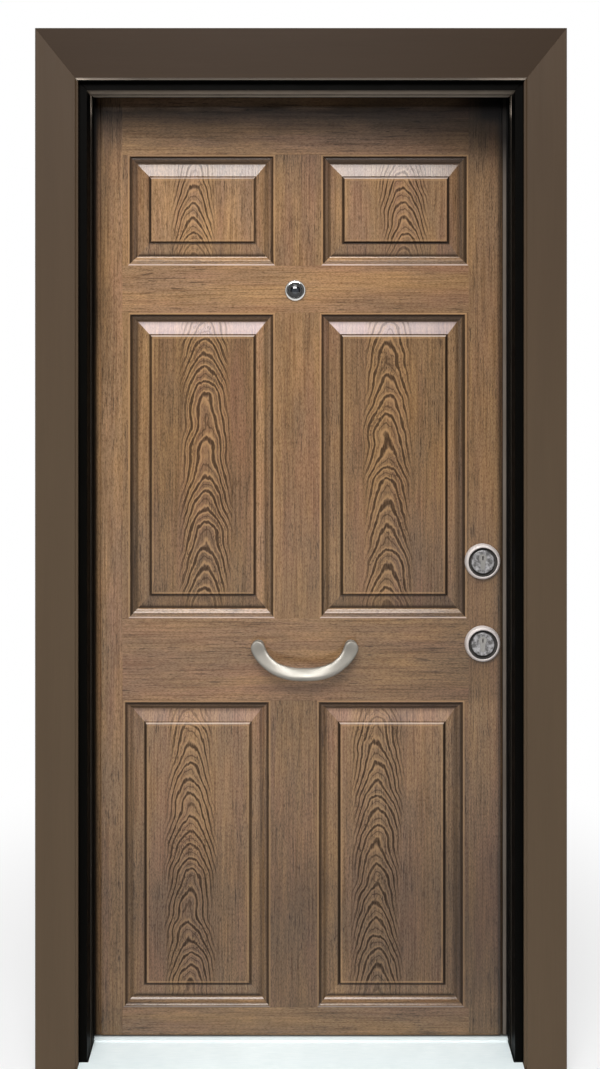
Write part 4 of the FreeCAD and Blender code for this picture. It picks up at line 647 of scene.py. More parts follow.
FINISHES = {
    "wood_lacquer": wood_lacquer,
    "wood_casing": wood_casing,
    "frame_black": lambda name: painted(name, colours().frame_black, 0.52, 0.00006, primer=(0.034, 0.033, 0.031)),
    # painted highlight along the inner returns of frame and casing
    "rubbed_edge": rubbed_edge,
    "hinge_paint": lambda name: painted(name, (0.018, 0.017, 0.016), 0.38, 0.00005, 0.2),
    "sill_steel": lambda name: brushed(name, colours().sill, 0.42, (25.0, 700.0, 700.0), 0.00003, 0.0, 0.08),
    "satin_nickel": lambda name: brushed(name, colours().nickel, 0.47, (70.0, 1300.0, 1300.0), 0.00003),
    "satin_ring": lambda name: brushed(name, (0.63, 0.575, 0.545), 0.50, (900.0, 900.0, 900.0), 0.00002, 0.30),
    "polished_nickel": lambda name: brushed(name, (0.80, 0.79, 0.76), 0.07, (400.0, 400.0, 400.0), 0.00001,
                                            spread=0.05),
    "zinc_steel": zinc_steel,
    "cylinder_brass": cylinder_brass,
    "disc_metal": disc_metal,
    "dark_groove": lambda name: painted(name, (0.062, 0.058, 0.054), 0.6, 0.00005),
    "lens_glass": lens_glass,
    "rubber": rubber,
    "foam": foam,
}


def finish(name):
    """The finish of that name, made the first time it is asked for."""
    made = bpy.data.materials.get(name)
    if made is None or not made.get("door_finish"):
        if made is not None:
            made.name = "packed_" + name
        made = FINISHES[name](name)
        made["door_finish"] = True
    return made


# ---------------------------------------------------------------- meshes

MERGE, FLAT = 2e-6, math.radians(0.4)                       # how near points and how flat faces are joined
RING_STEPS, CORNER_STEPS = 96, 4                            # sides of a turned ring, steps round a small corner
DEPTH_SHIFT = 1.7                                           # how far depth moves the grain of a folded sheet
NO_PANEL = -0.01                                            # inset of what lies outside the pressed panels


def new_piece(name, mesh):
    piece = bpy.data.objects.new(name, mesh)
    bpy.context.scene.collection.objects.link(piece)
    return piece


def mesh_of(shape, name):
    """Turns a working shape into a mesh of that name."""
    mesh = bpy.data.meshes.new(name)
    shape.to_mesh(mesh)
    shape.free()
    return mesh


def freeze(piece):
    """Turns a piece with modifiers into a plain mesh of the same name."""
    bpy.context.view_layer.update()
    graph = bpy.context.evaluated_depsgraph_get()
    mesh = bpy.data.meshes.new_from_object(piece.evaluated_get(graph), preserve_all_data_layers=True, depsgraph=graph)
    old = piece.data
    piece.modifiers.clear()
    piece.data = mesh
    mesh.name = piece.name
    if old.users == 0:
        bpy.data.meshes.remove(old)
    return piece


def settle(piece, body, material, *nodes, slot=None):
    """Gives a piece its finish and the body it rides on, and lets it stand for its CAD nodes."""
    piece.data.materials.clear()
    piece.data.materials.append(finish(material))
    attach(piece, body)
    if nodes:
        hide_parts(*nodes)
    return piece


def whole_copy(node):
    """The CAD node's mesh with its loose triangles merged into whole faces, under a name of its own."""
    shape = bmesh.new()
    shape.from_mesh(NODES[node].data)
    bmesh.ops.remove_doubles(shape, verts=shape.verts, dist=MERGE)
    bmesh.ops.dissolve_limit(shape, angle_limit=FLAT, verts=shape.verts, edges=shape.edges)
    bmesh.ops.triangulate(shape, faces=[f for f in shape.faces if len(f.verts) > 4])
    for part in (*shape.faces, *shape.edges):
        part.smooth = True
    return new_piece(node + "_dressed", mesh_of(shape, node + "_dressed"))


def grain_onto(mesh, direction, board):
    """Gives a mesh its own grain map: across and along each board in metres, and the board's number."""
    layer = mesh.uv_layers.get("grain") or mesh.uv_layers.new(name="grain")
    for loop in mesh.loops:
        x, y, z = mesh.vertices[loop.vertex_index].co
        layer.data[loop.index].uv = (x + DEPTH_SHIFT * y, z) if direction == "UP" else (z + DEPTH_SHIFT * y, x)
    for name, value in (("board", board), ("figured", 0.0), ("inset", NO_PANEL), ("lift", 1.0)):
        attribute = mesh.attributes.get(name) or mesh.attributes.new(name, "FLOAT", "CORNER")
        attribute.data.foreach_set("value", [value] * len(mesh.loops))


def dressed(node, material, radius=None, angle=28.0, segments=2, grain=None, board=0.0):
    """A copy of the CAD node with softened folds, which then stands for the node."""
    piece = whole_copy(node)
    soften = piece.modifiers.new("soften", "BEVEL")
    soften.width, soften.segments = radius or sizes().fold_radius, segments
    soften.limit_method, soften.angle_limit = "ANGLE", math.radians(angle)
    soften.harden_normals = soften.use_clamp_overlap = True
    soften.miter_outer = "MITER_ARC"
    weigh = piece.modifiers.new("weigh", "WEIGHTED_NORMAL")
    weigh.mode, weigh.weight = "FACE_AREA", 80
    freeze(piece)
    if grain:
        grain_onto(piece.data, grain, board)
    return settle(piece, NODES[node]["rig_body"], material, node)


def pressed_spring(node, material):
    """A coil of its own mesh, copied from the CAD node, which then stands for the node."""
    coil = settle(whole_copy(node), NODES[node]["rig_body"], material, node)
    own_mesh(coil)


def second_finish(piece, material, wanted):
    """Gives the faces for which wanted(centre, normal) holds a further finish."""
    piece.data.materials.append(finish(material))
    for face in piece.data.polygons:
        if wanted(face.center, face.normal):
            face.material_index = len(piece.data.materials) - 1


def refinish(material, *nodes):
    """Keeps the shape of the CAD nodes and gives them a better finish."""
    for node in nodes:
        mesh = NODES[node].data
        if len(mesh.materials) == 0:
            mesh.materials.append(finish(material))
        for index in range(len(mesh.materials)):
            mesh.materials[index] = finish(material)


def band(shape, rings, smooth=False):
    """Faces from each ring of points to the next."""
    for a, b in zip(rings, rings[1:]):
        for k in range(len(a)):
            n = (k + 1) % len(a)
            shape.faces.new((a[k], a[n], b[n], b[k])).smooth = smooth


def turned_ring(name, profile, centre):
    """A ring turned about the axis through centre (x, z); profile is (radius, y) in metres, closed."""
    shape = bmesh.new()
    rings = []
    for angle in (math.tau * step / RING_STEPS for step in range(RING_STEPS)):
        rings.append([shape.verts.new((centre[0] + r * math.cos(angle), y, centre[1] + r * math.sin(angle)))
                      for r, y in profile])
    band(shape, rings + rings[:1], smooth=True)
    bmesh.ops.recalc_face_normals(shape, faces=shape.faces)
    mesh = mesh_of(shape, name)
    mesh.set_sharp_from_angle(angle=math.radians(32))
    return mesh


def eased(here, before, after, radius):
    """Points of a small curve in place of the corner at here; before and after lead to its neighbours."""
    reach = min(radius, before.length * 0.45, after.length * 0.45)
    start, end = here + before.normalized() * reach, here + after.normalized() * reach
    steps = (step / CORNER_STEPS for step in range(CORNER_STEPS + 1))
    return [tuple((1 - t) ** 2 * start + 2 * t * (1 - t) * here + t ** 2 * end) for t in steps]


def rounded(outline, radius):
    """Rounds the corners of a closed outline of (radius, y) points."""
    points = [Vector(point) for point in outline]
    return [corner for before, here, after in zip(points[-1:] + points, points, points[1:] + points[:1])
            for corner in eased(here, before - here, after - here, radius)]


# ---------------------------------------------------------------- the bow handle

# stations of the bow from an end to its middle: share of half span, then drop, stand-off, width and depth in mm,
# and the tilt of the section towards the sky in degrees
BOW = ((1.000, 0.0, 15.0, 30.5, 12.5, -5.0), (0.935, 12.5, 17.0, 29.0, 12.5, -1.0),
       (0.810, 25.5, 24.0, 26.5, 13.0, 8.0), (0.600, 37.0, 35.0, 25.5, 14.0, 21.0),
       (0.310, 43.4, 43.0, 27.0, 15.5, 42.0), (0.000, 44.6, 45.0, 28.5, 16.0, 54.0))
BOW_STEPS, BOW_SIDES, POST_SIDES = 8, 36, 40
# radius and height of each post under the bow's ends, in mm from the door's face
POST = ((14.2, 0.0), (13.2, -1.5), (12.2, -5.0), (12.0, -12.0))
HOLLOW = 1.7 * MM                                           # depth of the hollow along the front of each arm


def bow_line(middle, half, top, door):
    """Stations of the whole bow: (point, width, depth, tilt)."""
    stations = [(-s, *rest) for s, *rest in BOW] + [(s, *rest) for s, *rest in reversed(BOW[:-1])]
    control = [(Vector((middle + s * half, door - o * MM, top - d * MM)), w * MM, t * MM, math.radians(a))
               for s, d, o, w, t, a in stations]
    last = len(control) - 1
    fine = []
    for k in range(last):
        near = [control[min(max(k + j, 0), last)] for j in (-1, 0, 1, 2)]
        for t in (step / BOW_STEPS for step in range(BOW_STEPS)):
            weights = (-0.5 * t + t * t - 0.5 * t ** 3, 1 - 2.5 * t * t + 1.5 * t ** 3,
                       0.5 * t + 2 * t * t - 1.5 * t ** 3, -0.5 * t * t + 0.5 * t ** 3)
            fine.append(tuple(sum((w * p[i] for w, p in zip(weights, near)), near[0][i] * 0) for i in range(4)))
    fine.append(control[last])

    def cap(end, inner):
        """Stations of the round end beyond the last control point."""
        point, width, depth, tilt = end
        away = (point - inner[0]).normalized()
        away = Vector((away.x, 0.0, away.z)).normalized()
        angles = [math.pi / 2 * step / 8.3 for step in range(1, 9)]
        return [(point + away * (width / 2 * math.sin(angle)), width * math.cos(angle),
                 depth * (0.35 + 0.65 * math.cos(angle)), tilt) for angle in angles]
    return cap(fine[0], fine[2])[::-1] + fine + cap(fine[-1], fine[-3])


def bow_mesh(left, right, top, door):
    """One casting: a flattened bow with round pads at its ends, each on a short post."""
    middle, half = (left + right) / 2, (right - left) / 2
    line = bow_line(middle, half, top, door)
    shape = bmesh.new()
    rings = []
    for index, (point, width, depth, tilt) in enumerate(line):
        ahead = line[min(index + 1, len(line) - 1)][0] - line[max(index - 1, 0)][0]
        flat = Vector((-ahead.z, 0.0, ahead.x)).normalized()
        out = ahead.cross(flat).normalized()
        flat, out = flat * math.cos(tilt) - out * math.sin(tilt), out * math.cos(tilt) + flat * math.sin(tilt)
        share = min(1.0, abs(point.x - middle) / half)
        boxy = 2.5 + 0.8 * share ** 3
        ring = []
        for angle in (math.tau * step / BOW_SIDES for step in range(BOW_SIDES)):
            c, s = math.cos(angle), math.sin(angle)
            u = math.copysign(abs(c) ** (2 / boxy), c) * width / 2
            v = math.copysign(abs(s) ** (2 / boxy), s) * depth / 2
            if s > 0:
                v -= HOLLOW * (1.0 - abs(c) ** 1.6) * s * share ** 1.5
            ring.append(shape.verts.new(point + flat * u + out * v))
        rings.append(ring)
    parts = [rings]
    for x in (left, right):
        parts.append([[shape.verts.new((x + radius * MM * math.cos(math.tau * k / POST_SIDES), door + y * MM,
                                        top + radius * MM * math.sin(math.tau * k / POST_SIDES)))
                       for k in range(POST_SIDES)] for radius, y in POST])
    for rings in parts:
        band(shape, rings)
        shape.faces.new(rings[0])
        shape.faces.new(list(reversed(rings[-1])))
    bmesh.ops.recalc_face_normals(shape, faces=shape.faces)
    return mesh_of(shape, "pull_handle_dressed")


# ---------------------------------------------------------------- the pressed outer skin

LEAF_LOW, LEAF_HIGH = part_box("outer_skin")
# bottom, top, then left and right of the two panels of each row
ROWS = ((0.086, 0.728, (-0.3722, -0.0664), (0.0362, 0.3425)), (0.906, 1.545, (-0.3615, -0.0572), (0.0415, 0.3470)),
        (1.649, 1.878, (-0.3625, -0.0568), (0.0450, 0.3505)))
PANELS = [(left, right, bottom, top) for bottom, top, *pair in ROWS for left, right in pair]
# middle of the flame figure in the left and right panel of each row
FLAME_MIDDLES = ((-0.234, 0.160), (-0.202, 0.183), (-0.228, 0.217))
# how much longer the raised bevel runs at the left, right, bottom and top of every panel, from which inset on,
# and over what width that sets in
LONGER = (0.0040, 0.0, 0.0058, 0.0052)
LONGER_FROM, LONGER_OVER = 0.0175, 0.0200
# the moulding's cross-section in mm: inset, depth and radius of each corner
MOULDING = ((0.0, 0.0, 0.0), (2.2, 0.0, 0.9), (4.0, 2.7, 0.6), (5.5, 3.0, 0.5), (6.9, 2.7, 0.7), "bead",
            (14.5, 8.0, 0.6), (17.0, 8.6, 1.0), (38.0, 3.2, 0.6), (39.0, 4.4, 0.4), (40.4, 4.4, 0.5),
            (42.0, 0.6, 0.9), (44.0, 0.6, 0.0), (50.0, 0.6, 0.0))
BEAD_BULGE, BEAD_STEPS = 0.5, 12
LONG_FLAT, FLAT_END = 1.6, 0.25                             # flats over this length stay flat near their ends, in mm
# how far inside a panel's edge its mouldings, its bevel and its field begin, and where the bevel ends
MOULDINGS_FROM, BEVEL_FROM, BEVEL_TO, FIELD_FROM = 0.001, 0.0165, 0.0375, 0.0415
FIGURE_FROM, BEVEL_FIGURE = 0.017, 0.55                     # where the flame figure sets in, its strength there
# numbers that set the grain of the boards apart: the flat boards' last one, and the panels' first one and step
LAST_BOARD, PANEL_BOARD, PANEL_BOARD_STEP = 11, 0.13, 0.117
# how dark the (groove, bead, crest) of the bottom, right, top and left moulding of a panel are made: dark glaze,
# with painted shade by how each moulding faces the light, none on the bead of the bottom one, which faces up
GLAZE_AND_SHADE = ((0.45, 0.0, 0.80), (0.86, 0.42, 0.45), (0.94, 0.70, 0.25), (0.88, 0.60, 0.10))
GLAZE_AND_SHADE_LOWEST = (0.15, 0.0, 0.80)                           # bottom moulding of the bottom row
# the same along the edge of the raised field, for the left and right panel of the bottom, middle and top row;
# below 0 it gives a painted highlight on the step to the field instead, with a painted dark line before it
EDGE_SHADE_AND_GLINT = (((0.80, 0.72, -0.55, 0.92), (0.80, 1.0, -0.55, 0.95)),
               ((0.85, 0.85, -0.80, 0.86), (0.85, 1.0, -0.85, 0.90)),
               ((0.85, 0.75, -0.70, 0.94), (1.0, 1.0, -0.90, 0.92)))
# how much lighter or darker the lacquer is made: by board number; by panel row on the bottom ring, a painted
# highlight;
# on the bevels, painted light and shade, the top ones turning pale above 1.25; on the four mouldings of the left and
# right panel, painted shade and highlight by how each faces the light; and on their fields
BOARD_LIFT = {10: 0.82, 3: 1.22}
RING_LIFT = (0.62, 1.05, 0.95)
BEVEL_LIFT = ((1.22, 1.0, 1.32, 0.95), (0.68, 1.08, 1.46, 0.84), (0.82, 1.0, 0.79, 0.9))
MOULDING_LIFT = (((1.10, 1.24, 0.85, 1.24), (1.10, 0.80, 0.78, 1.24)),
                 ((1.0, 1.05, 0.58, 0.62), (1.0, 0.72, 0.58, 1.22)),
                 ((1.05, 1.0, 0.68, 0.80), (1.05, 0.62, 0.58, 0.90)))
FIELD_LIFT = ((0.97, 0.97), (0.66, 0.81), (1.0, 1.0))
# parts that pass through the skin, with the share of their radius that its hole has
THROUGH = (("upper_outer_rosette", 0.80), ("main_outer_rosette", 0.80), ("viewer_barrel", 0.60))
HOLE_SIDES = 40
SEAM_LEFT, SEAM_RIGHT = 0.0015, 0.0005                      # gaps from the light lines to the two upright seams
LINE_RIM = 0.0005                                           # width of a light line's outermost strip


def rounded_profile():
    """The moulding's cross-section as (inset, depth) in metres, with small pressed radii."""
    corners = []
    for index, corner in enumerate(MOULDING):
        if corner != "bead":
            corners.append(corner)
            continue
        (x0, d0, _), (x1, d1, _) = MOULDING[index - 1], MOULDING[index + 1]
        run, fall = x1 - x0, d1 - d0
        length = math.hypot(run, fall)
        for t in (step / BEAD_STEPS for step in range(1, BEAD_STEPS)):
            bulge = BEAD_BULGE * 4 * t * (1 - t)
            corners.append((x0 + run * t + fall / length * bulge, d0 + fall * t - run / length * bulge, 0.0))
    points = []
    for index, (x, d, radius) in enumerate(corners):
        if radius == 0.0 or index in (0, len(corners) - 1):
            points.append((x, d))
            continue
        before, after = (Vector((corners[k][0] - x, corners[k][1] - d)) for k in (index - 1, index + 1))
        points += eased(Vector((x, d)), before, after, radius)
    held = [points[0]]
    for (x0, d0), (x1, d1) in zip(points, points[1:]):
        length = math.hypot(x1 - x0, d1 - d0)
        shares = (FLAT_END / length, (length - FLAT_END) / length) if length > LONG_FLAT else ()
        held += [(x0 + (x1 - x0) * t, d0 + (d1 - d0) * t) for t in shares] + [(x1, d1)]
    return [(x * MM, d * MM) for x, d in held]


def board_at(x, z, left, right, rails):
    """Which board a point of the flat skin belongs to: (number, direction)."""
    if x < left:
        return 1, "UP"
    if x > right:
        return 2, "UP"
    for number, (bottom, top) in enumerate(rails):
        if bottom <= z <= top:
            return 3 + number, "LEVEL"
    return 10, "UP"


def flat_skin(ring, layout, holes):
    """The flat boards round the panels, cut along their seams: points and faces, holes still filled."""
    left, right, rails = layout
    bottom, top = LEAF_LOW.z, LEAF_HIGH.z
    points, edges = [], []

    def loop(corners):
        first = len(points)
        points.extend(Vector(c) for c in corners)
        edges.extend((first + i, first + (i + 1) % len(corners)) for i in range(len(corners)))

    def seam(a, b):
        edges.append((len(points), len(points) + 1))
        points.extend((Vector(a), Vector(b)))

    loop([(LEAF_LOW.x, bottom), (LEAF_HIGH.x, bottom), (LEAF_HIGH.x, top), (LEAF_LOW.x, top)])
    for x0, x1, z0, z1 in PANELS:
        loop([(x0 - ring, z0 - ring), (x1 + ring, z0 - ring), (x1 + ring, z1 + ring), (x0 - ring, z1 + ring)])
    for x, z, radius in holes:
        angles = [math.tau * i / HOLE_SIDES for i in range(HOLE_SIDES)]
        loop([(x + radius * math.cos(a), z + radius * math.sin(a)) for a in angles])
    for x in (left, right):
        seam((x, bottom), (x, top))
    for z in (z for rail in rails for z in rail if bottom < z < top):
        seam((left, z), (right, z))
    made, _, faces, *_ = delaunay_2d_cdt(points, edges, [], 0, 1e-6)
    return made, faces


def skin_mesh():
    """The outer skin: flat boards round six pressed panels, in one sheet."""
    ring = sizes().wear_and_highlight_ring
    seams = [LEAF_LOW.z] + [z for bottom, top, *_ in ROWS for z in (bottom - ring, top + ring)] + [LEAF_HIGH.z]
    layout = (min(p[0] for p in PANELS) - ring - SEAM_LEFT, max(p[1] for p in PANELS) + ring + SEAM_RIGHT,
              list(zip(seams[::2], seams[1::2])))
    holes = []
    for node, share in THROUGH:
        bottom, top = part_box(node)
        holes.append(((bottom.x + top.x) / 2, (bottom.z + top.z) / 2, (top.x - bottom.x) / 2 * share))
    flat_points, faces = flat_skin(ring, layout, holes)

    shape = bmesh.new()
    layers = shape.loops.layers
    grain = layers.uv.new("grain")
    inset_layer = shape.verts.layers.float.new("inset")
    plain = {"board": 0.0, "figured": 0.0, "glaze_and_shade": (0, 0, 0), "edge_shade_and_glint": 0.0, "lift": 1.0}
    layer = {name: (layers.float_vector if name == "glaze_and_shade" else layers.float).new(name) for name in plain}
    profile = [(-ring, 0.0), (LINE_RIM - ring, 0.0)] + rounded_profile()

    def face_of(verts, direction, centre=0.0, smooth=False, **values):
        face = shape.faces.new(verts)
        face.smooth = smooth
        for corner in face.loops:
            x, z = corner.vert.co.x, corner.vert.co.z
            corner[grain].uv = (x - centre, z) if direction == "UP" else (z, x)
            for name, value in {**plain, **values}.items():
                corner[layer[name]] = value
        return face

    def spread(x0, x1, z0, z1, inset):
        t = min(1.0, max(0.0, (inset - LONGER_FROM) / LONGER_OVER))
        return ((x0 + inset + LONGER[0] * t, x1 - inset - LONGER[1] * t),
                (z0 + inset + LONGER[2] * t, z1 - inset - LONGER[3] * t))

    def vert_at(x, depth, z, inset):
        vert = shape.verts.new((x, LEAF_LOW.y + depth, z))
        vert[inset_layer] = inset
        return vert

    for corners in faces:
        x, z = sum((Vector(flat_points[i]) for i in corners), Vector((0, 0))) / len(corners)
        if any(p[0] - ring < x < p[1] + ring and p[2] - ring < z < p[3] + ring for p in PANELS):
            continue
        if any(math.hypot(x - h[0], z - h[1]) < h[2] for h in holes):
            continue
        board, direction = board_at(x, z, *layout)
        verts = [vert_at(flat_points[i][0], 0.0, flat_points[i][1], NO_PANEL) for i in corners]
        face = face_of(verts, direction, board=board / LAST_BOARD, lift=BOARD_LIFT.get(board, 1.0))
        face.normal_update()
        if face.normal.y > 0:
            face.normal_flip()

    for index, panel in enumerate(PANELS):
        row, column = divmod(index, 2)
        flame_x, board = FLAME_MIDDLES[row][column], PANEL_BOARD + index * PANEL_BOARD_STEP
        field_lift = FIELD_LIFT[row][column]
        for side in range(4):
            strip = []
            for inset, depth in profile:
                (xa, xb), (za, zb) = spread(*panel, inset)
                round_it = ((xa, za), (xb, za), (xb, zb), (xa, zb), (xa, za))
                strip.append([vert_at(x, depth, z, inset) for x, z in round_it[side:side + 2]])
            shared = {"board": board, "edge_shade_and_glint": EDGE_SHADE_AND_GLINT[row][column][side],
                      "glaze_and_shade": GLAZE_AND_SHADE_LOWEST if (row, side) == (0, 0) else GLAZE_AND_SHADE[side]}
            for (inset, _), a, b in zip(profile, strip, strip[1:]):
                figured = 0.0 if side in (1, 3) or inset < FIGURE_FROM else BEVEL_FIGURE
                lift = 1.0
                if inset > FIELD_FROM:
                    figured, lift = 1.0, field_lift
                elif BEVEL_FROM < inset < BEVEL_TO:
                    lift = BEVEL_LIFT[row][side]
                elif MOULDINGS_FROM < inset < BEVEL_FROM:
                    lift = MOULDING_LIFT[row][column][side]
                elif inset < 0 and side == 0:
                    lift = RING_LIFT[row]
                face_of([a[0], a[1], b[1], b[0]], "UP" if side in (1, 3) or figured else "LEVEL", flame_x, True,
                        figured=figured, lift=lift, **shared)
        inset, depth = profile[-1]
        (xa, xb), (za, zb) = spread(*panel, inset)
        field = [vert_at(x, depth, z, inset) for x, z in ((xa, za), (xb, za), (xb, zb), (xa, zb))]
        face_of(field, "UP", flame_x, board=board, figured=1.0, lift=field_lift)
    bmesh.ops.remove_doubles(shape, verts=shape.verts, dist=1e-6)
    for edge in shape.edges:                                # the mitres at the panels' corners stay sharp
        if len(edge.link_faces) == 2 and edge.calc_face_angle(0) > math.radians(1.0):
            run = edge.verts[1].co - edge.verts[0].co
            edge.smooth = min(abs(run.x), abs(run.z)) <= 1e-5
    return mesh_of(shape, "outer_skin_dressed")


# ---------------------------------------------------------------- screws, by Geometry Nodes

HEAD_SIDES, HEAD_TAPER, SLOT_REACH, SLOT_LIFT = 28, 0.72, 0.52, 0.95
HEAD_SHARE = 0.17                                           # height and slot width as a share of the head's diameter
SCREW_INPUTS = {"Places": None, "Head Diameter": 0.0064, "Head Height": 0.0011, "Slot Width": 0.0011, "Seed": 7}


def screw_tree():
    """Countersunk cross-slot screw heads, one on each point of the input, turned at random about their axes."""
    tree = bpy.data.node_groups.new("screw_heads", "GeometryNodeTree")
    kinds = {type(None): "NodeSocketGeometry", float: "NodeSocketFloat", int: "NodeSocketInt"}
    for label, default in SCREW_INPUTS.items():
        socket = tree.interface.new_socket(name=label, in_out="INPUT", socket_type=kinds[type(default)])
        if default is not None:
            socket.default_value = default
    tree.interface.new_socket(name="Finish", in_out="INPUT", socket_type="NodeSocketMaterial")
    tree.interface.new_socket(name="Screws", in_out="OUTPUT", socket_type="NodeSocketGeometry")
    g = Graph(tree)
    given = g.add("NodeGroupInput").outputs
    width, height = given["Head Diameter"], given["Head Height"]
    radius = g.times(width, 0.5)
    head = g.add("GeometryNodeMeshCone", fill_type="NGON", inputs={
        "Vertices": HEAD_SIDES, "Radius Bottom": radius, "Radius Top": g.times(radius, HEAD_TAPER), "Depth": height})
    cut = g.add("GeometryNodeMeshBoolean", operation="DIFFERENCE", solver="EXACT",
                inputs={"Mesh 1": head.outputs["Mesh"]})
    for turned in (False, True):
        long, short = g.times(width, SLOT_REACH), given["Slot Width"]
        size = g.vector(*((short, long) if turned else (long, short)), height)
        bar = g.add("GeometryNodeMeshCube", inputs={"Size": size})
        moved = g.add("GeometryNodeTransform", inputs={
            "Geometry": bar.outputs["Mesh"], "Translation": g.vector(0.0, 0.0, g.times(height, SLOT_LIFT))})
        tree.links.new(moved.outputs[0], cut.inputs["Mesh 2"])
    spin = g.add("FunctionNodeRandomValue", data_type="FLOAT")
    next(s for s in spin.inputs if s.enabled and s.name == "Max").default_value = math.tau
    g.put(next(s for s in spin.inputs if s.name == "Seed"), given["Seed"])
    facing = g.add("GeometryNodeInputNamedAttribute", data_type="FLOAT_VECTOR", inputs={"Name": "facing"})
    aim = g.add("FunctionNodeAlignRotationToVector", axis="Z", inputs={"Vector": facing.outputs[0]})
    place = g.add("GeometryNodeInstanceOnPoints", inputs={
        "Points": given["Places"], "Instance": cut.outputs["Mesh"], "Rotation": aim.outputs[0]})
    angle = g.vector(0.0, 0.0, next(s for s in spin.outputs if s.enabled))
    turned = g.add("GeometryNodeRotateInstances", inputs={
        "Instances": place.outputs[0], "Local Space": True, "Rotation": angle})
    real = g.add("GeometryNodeRealizeInstances", inputs={0: turned.outputs[0]})
    paint = g.add("GeometryNodeSetMaterial", inputs={"Geometry": real.outputs[0], "Material": given["Finish"]})
    g.add("NodeGroupOutput", inputs={0: paint.outputs[0]})
    return tree


def set_input(modifier, label, value):
    for item in modifier.node_group.interface.items_tree:
        if item.item_type == "SOCKET" and item.in_out == "INPUT" and item.name == label:
            modifier[item.identifier] = value
            return
    raise RuntimeError("no input named " + label)


def screws(name, body, places, diameter, seed):
    """One piece with a screw head at every place; places are (point, facing)."""
    mesh = bpy.data.meshes.new(name)
    mesh.from_pydata([tuple(p) for p, _ in places], [], [])
    facing = mesh.attributes.new("facing", "FLOAT_VECTOR", "POINT")
    facing.data.foreach_set("vector", [c for _, f in places for c in f])
    piece = new_piece(name, mesh)
    modifier = piece.modifiers.new("screws", "NODES")
    modifier.node_group = bpy.data.node_groups.get("screw_heads") or screw_tree()
    for label, value in (("Head Diameter", diameter), ("Head Height", diameter * HEAD_SHARE),
                         ("Slot Width", diameter * HEAD_SHARE), ("Seed", seed), ("Finish", finish("zinc_steel"))):
        set_input(modifier, label, value)
    freeze(piece)
    if "facing" in piece.data.attributes:
        piece.data.attributes.remove(piece.data.attributes["facing"])
    if not piece.data.polygons:
        raise RuntimeError(name + " came out empty")
    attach(piece, body)


# ---------------------------------------------------------------- operators, one for each group of parts

def plane(name, corners, order=(0, 1, 2, 3)):
    mesh = bpy.data.meshes.new(name)
    mesh.from_pydata(corners, [], [order])
    return new_piece(name, mesh)


def white_world(scene):
    """Soft even room light, with plain white where camera, metal and glass look past the door."""
    scene.world = bpy.data.worlds.new("studio")
    scene.world.use_nodes = True
    scene.world.node_tree.nodes.clear()
    g = Graph(scene.world.node_tree)
    light, white = (g.add("ShaderNodeBackground", label, {"Strength": strength, "Color": opaque(1)}).outputs[0]
                    for label, strength in (("soft room light", 0.45), ("white surroundings", 1.0)))
    g.add("ShaderNodeOutputWorld", inputs={0: g.blend(g.seen_by("Camera", "Glossy", "Transmission"), light, white)})


def white_floor():
    """Floor that takes the door's shadow near it and turns to plain white further out."""
    wide, sunk = 14, -0.0005
    floor = plane("floor", [(-wide, -wide, sunk), (wide, -wide, sunk), (wide, wide, sunk), (-wide, wide, sunk)])
    g = Finish("floor_white")
    across, deep, _ = g.split(g.here)
    reach = g.math("SQRT", g.plus(g.times(across, across), g.times(deep, deep)))
    g.fill(g.mix(g.noise(g.here, 3.0), 0.80, 0.84), 0.9, Specular_IOR_Level=0.1)
    fade = g.times(g.map(reach, 0.55, 1.5, 0.62, 1.0, smooth=True), g.seen_by("Camera", "Glossy"))
    glow = g.add("ShaderNodeEmission").outputs[0]
    g.put(g.output.inputs[0], g.blend(fade, g.shader.outputs[0], glow))
    floor.data.materials.append(g.material)
    return floor


def grey_room():
    """Grey wall far behind the camera, which metal and lacquer mirror; it isn't seen itself."""
    wide, back, high = 7, -6, 7
    corners = [(-wide, back, 0), (wide, back, 0), (wide, back, high), (-wide, back, high)]
    wall = plane("room_wall", corners, order=(3, 2, 1, 0))
    wall.visible_camera = wall.visible_shadow = False
    g = Finish("room_grey")
    g.put(g.shader.inputs["Base Color"], g.mix(g.noise(g.here, 0.8), (0.16, 0.16, 0.165), 0.20))
    wall.data.materials.append(g.material)
    return wall


# lamps: name, place, aim, width, height, power, colour and spread in degrees
LAMPS = (("softbox_high", (-0.25, -2.6, 3.22), (0.0, 0.0, 1.25), 2.0, 1.15, 105.0, (1.0, 0.98, 0.985), 180),
         ("softbox_sill", (-0.05, -0.60, 2.4), (0.0, -0.06, 0.0), 1.2, 0.35, 2.0, (0.95, 0.99, 1.0), 50))
# where the camera stands, its focal length, the height of its sensor in mm, and its shift
EYE, LENS, SENSOR, SHIFT = (0.0, -2.3, 1.5637), 36.76, 36.0, (-0.00094, -0.2147)


def lamp(name, place, aim, wide, tall, power, colour, spread):
    data = bpy.data.lights.new(name, "AREA")
    data.shape, data.size, data.size_y, data.energy, data.color = "RECTANGLE", wide, tall, power, colour
    data.spread = math.radians(spread)
    item = new_piece(name, data)
    item.location = place
    item.visible_camera = False
    item.rotation_euler = (Vector(aim) - Vector(place)).to_track_quat("-Z", "Y").to_euler()


class DOOR_OT_stage(bpy.types.Operator):
    """Pale floor, white surroundings, soft lamps and the camera"""
    bl_idname = "door.stage"
    bl_label = "Stage, lamps and camera"

    def execute(self, context):
        scene = context.scene
        scene.view_settings.view_transform = "Standard"
        white_world(scene)
        white_floor()
        grey_room()
        for settings in LAMPS:
            lamp(*settings)
        data = bpy.data.cameras.new("camera")
        data.sensor_fit, data.sensor_height, data.lens = "VERTICAL", SENSOR, LENS
        data.shift_x, data.shift_y = SHIFT
        scene.camera = new_piece("camera", data)
        scene.camera.location = EYE
        scene.camera.rotation_euler = (math.radians(90), 0.0, 0.0)
        return {"FINISHED"}


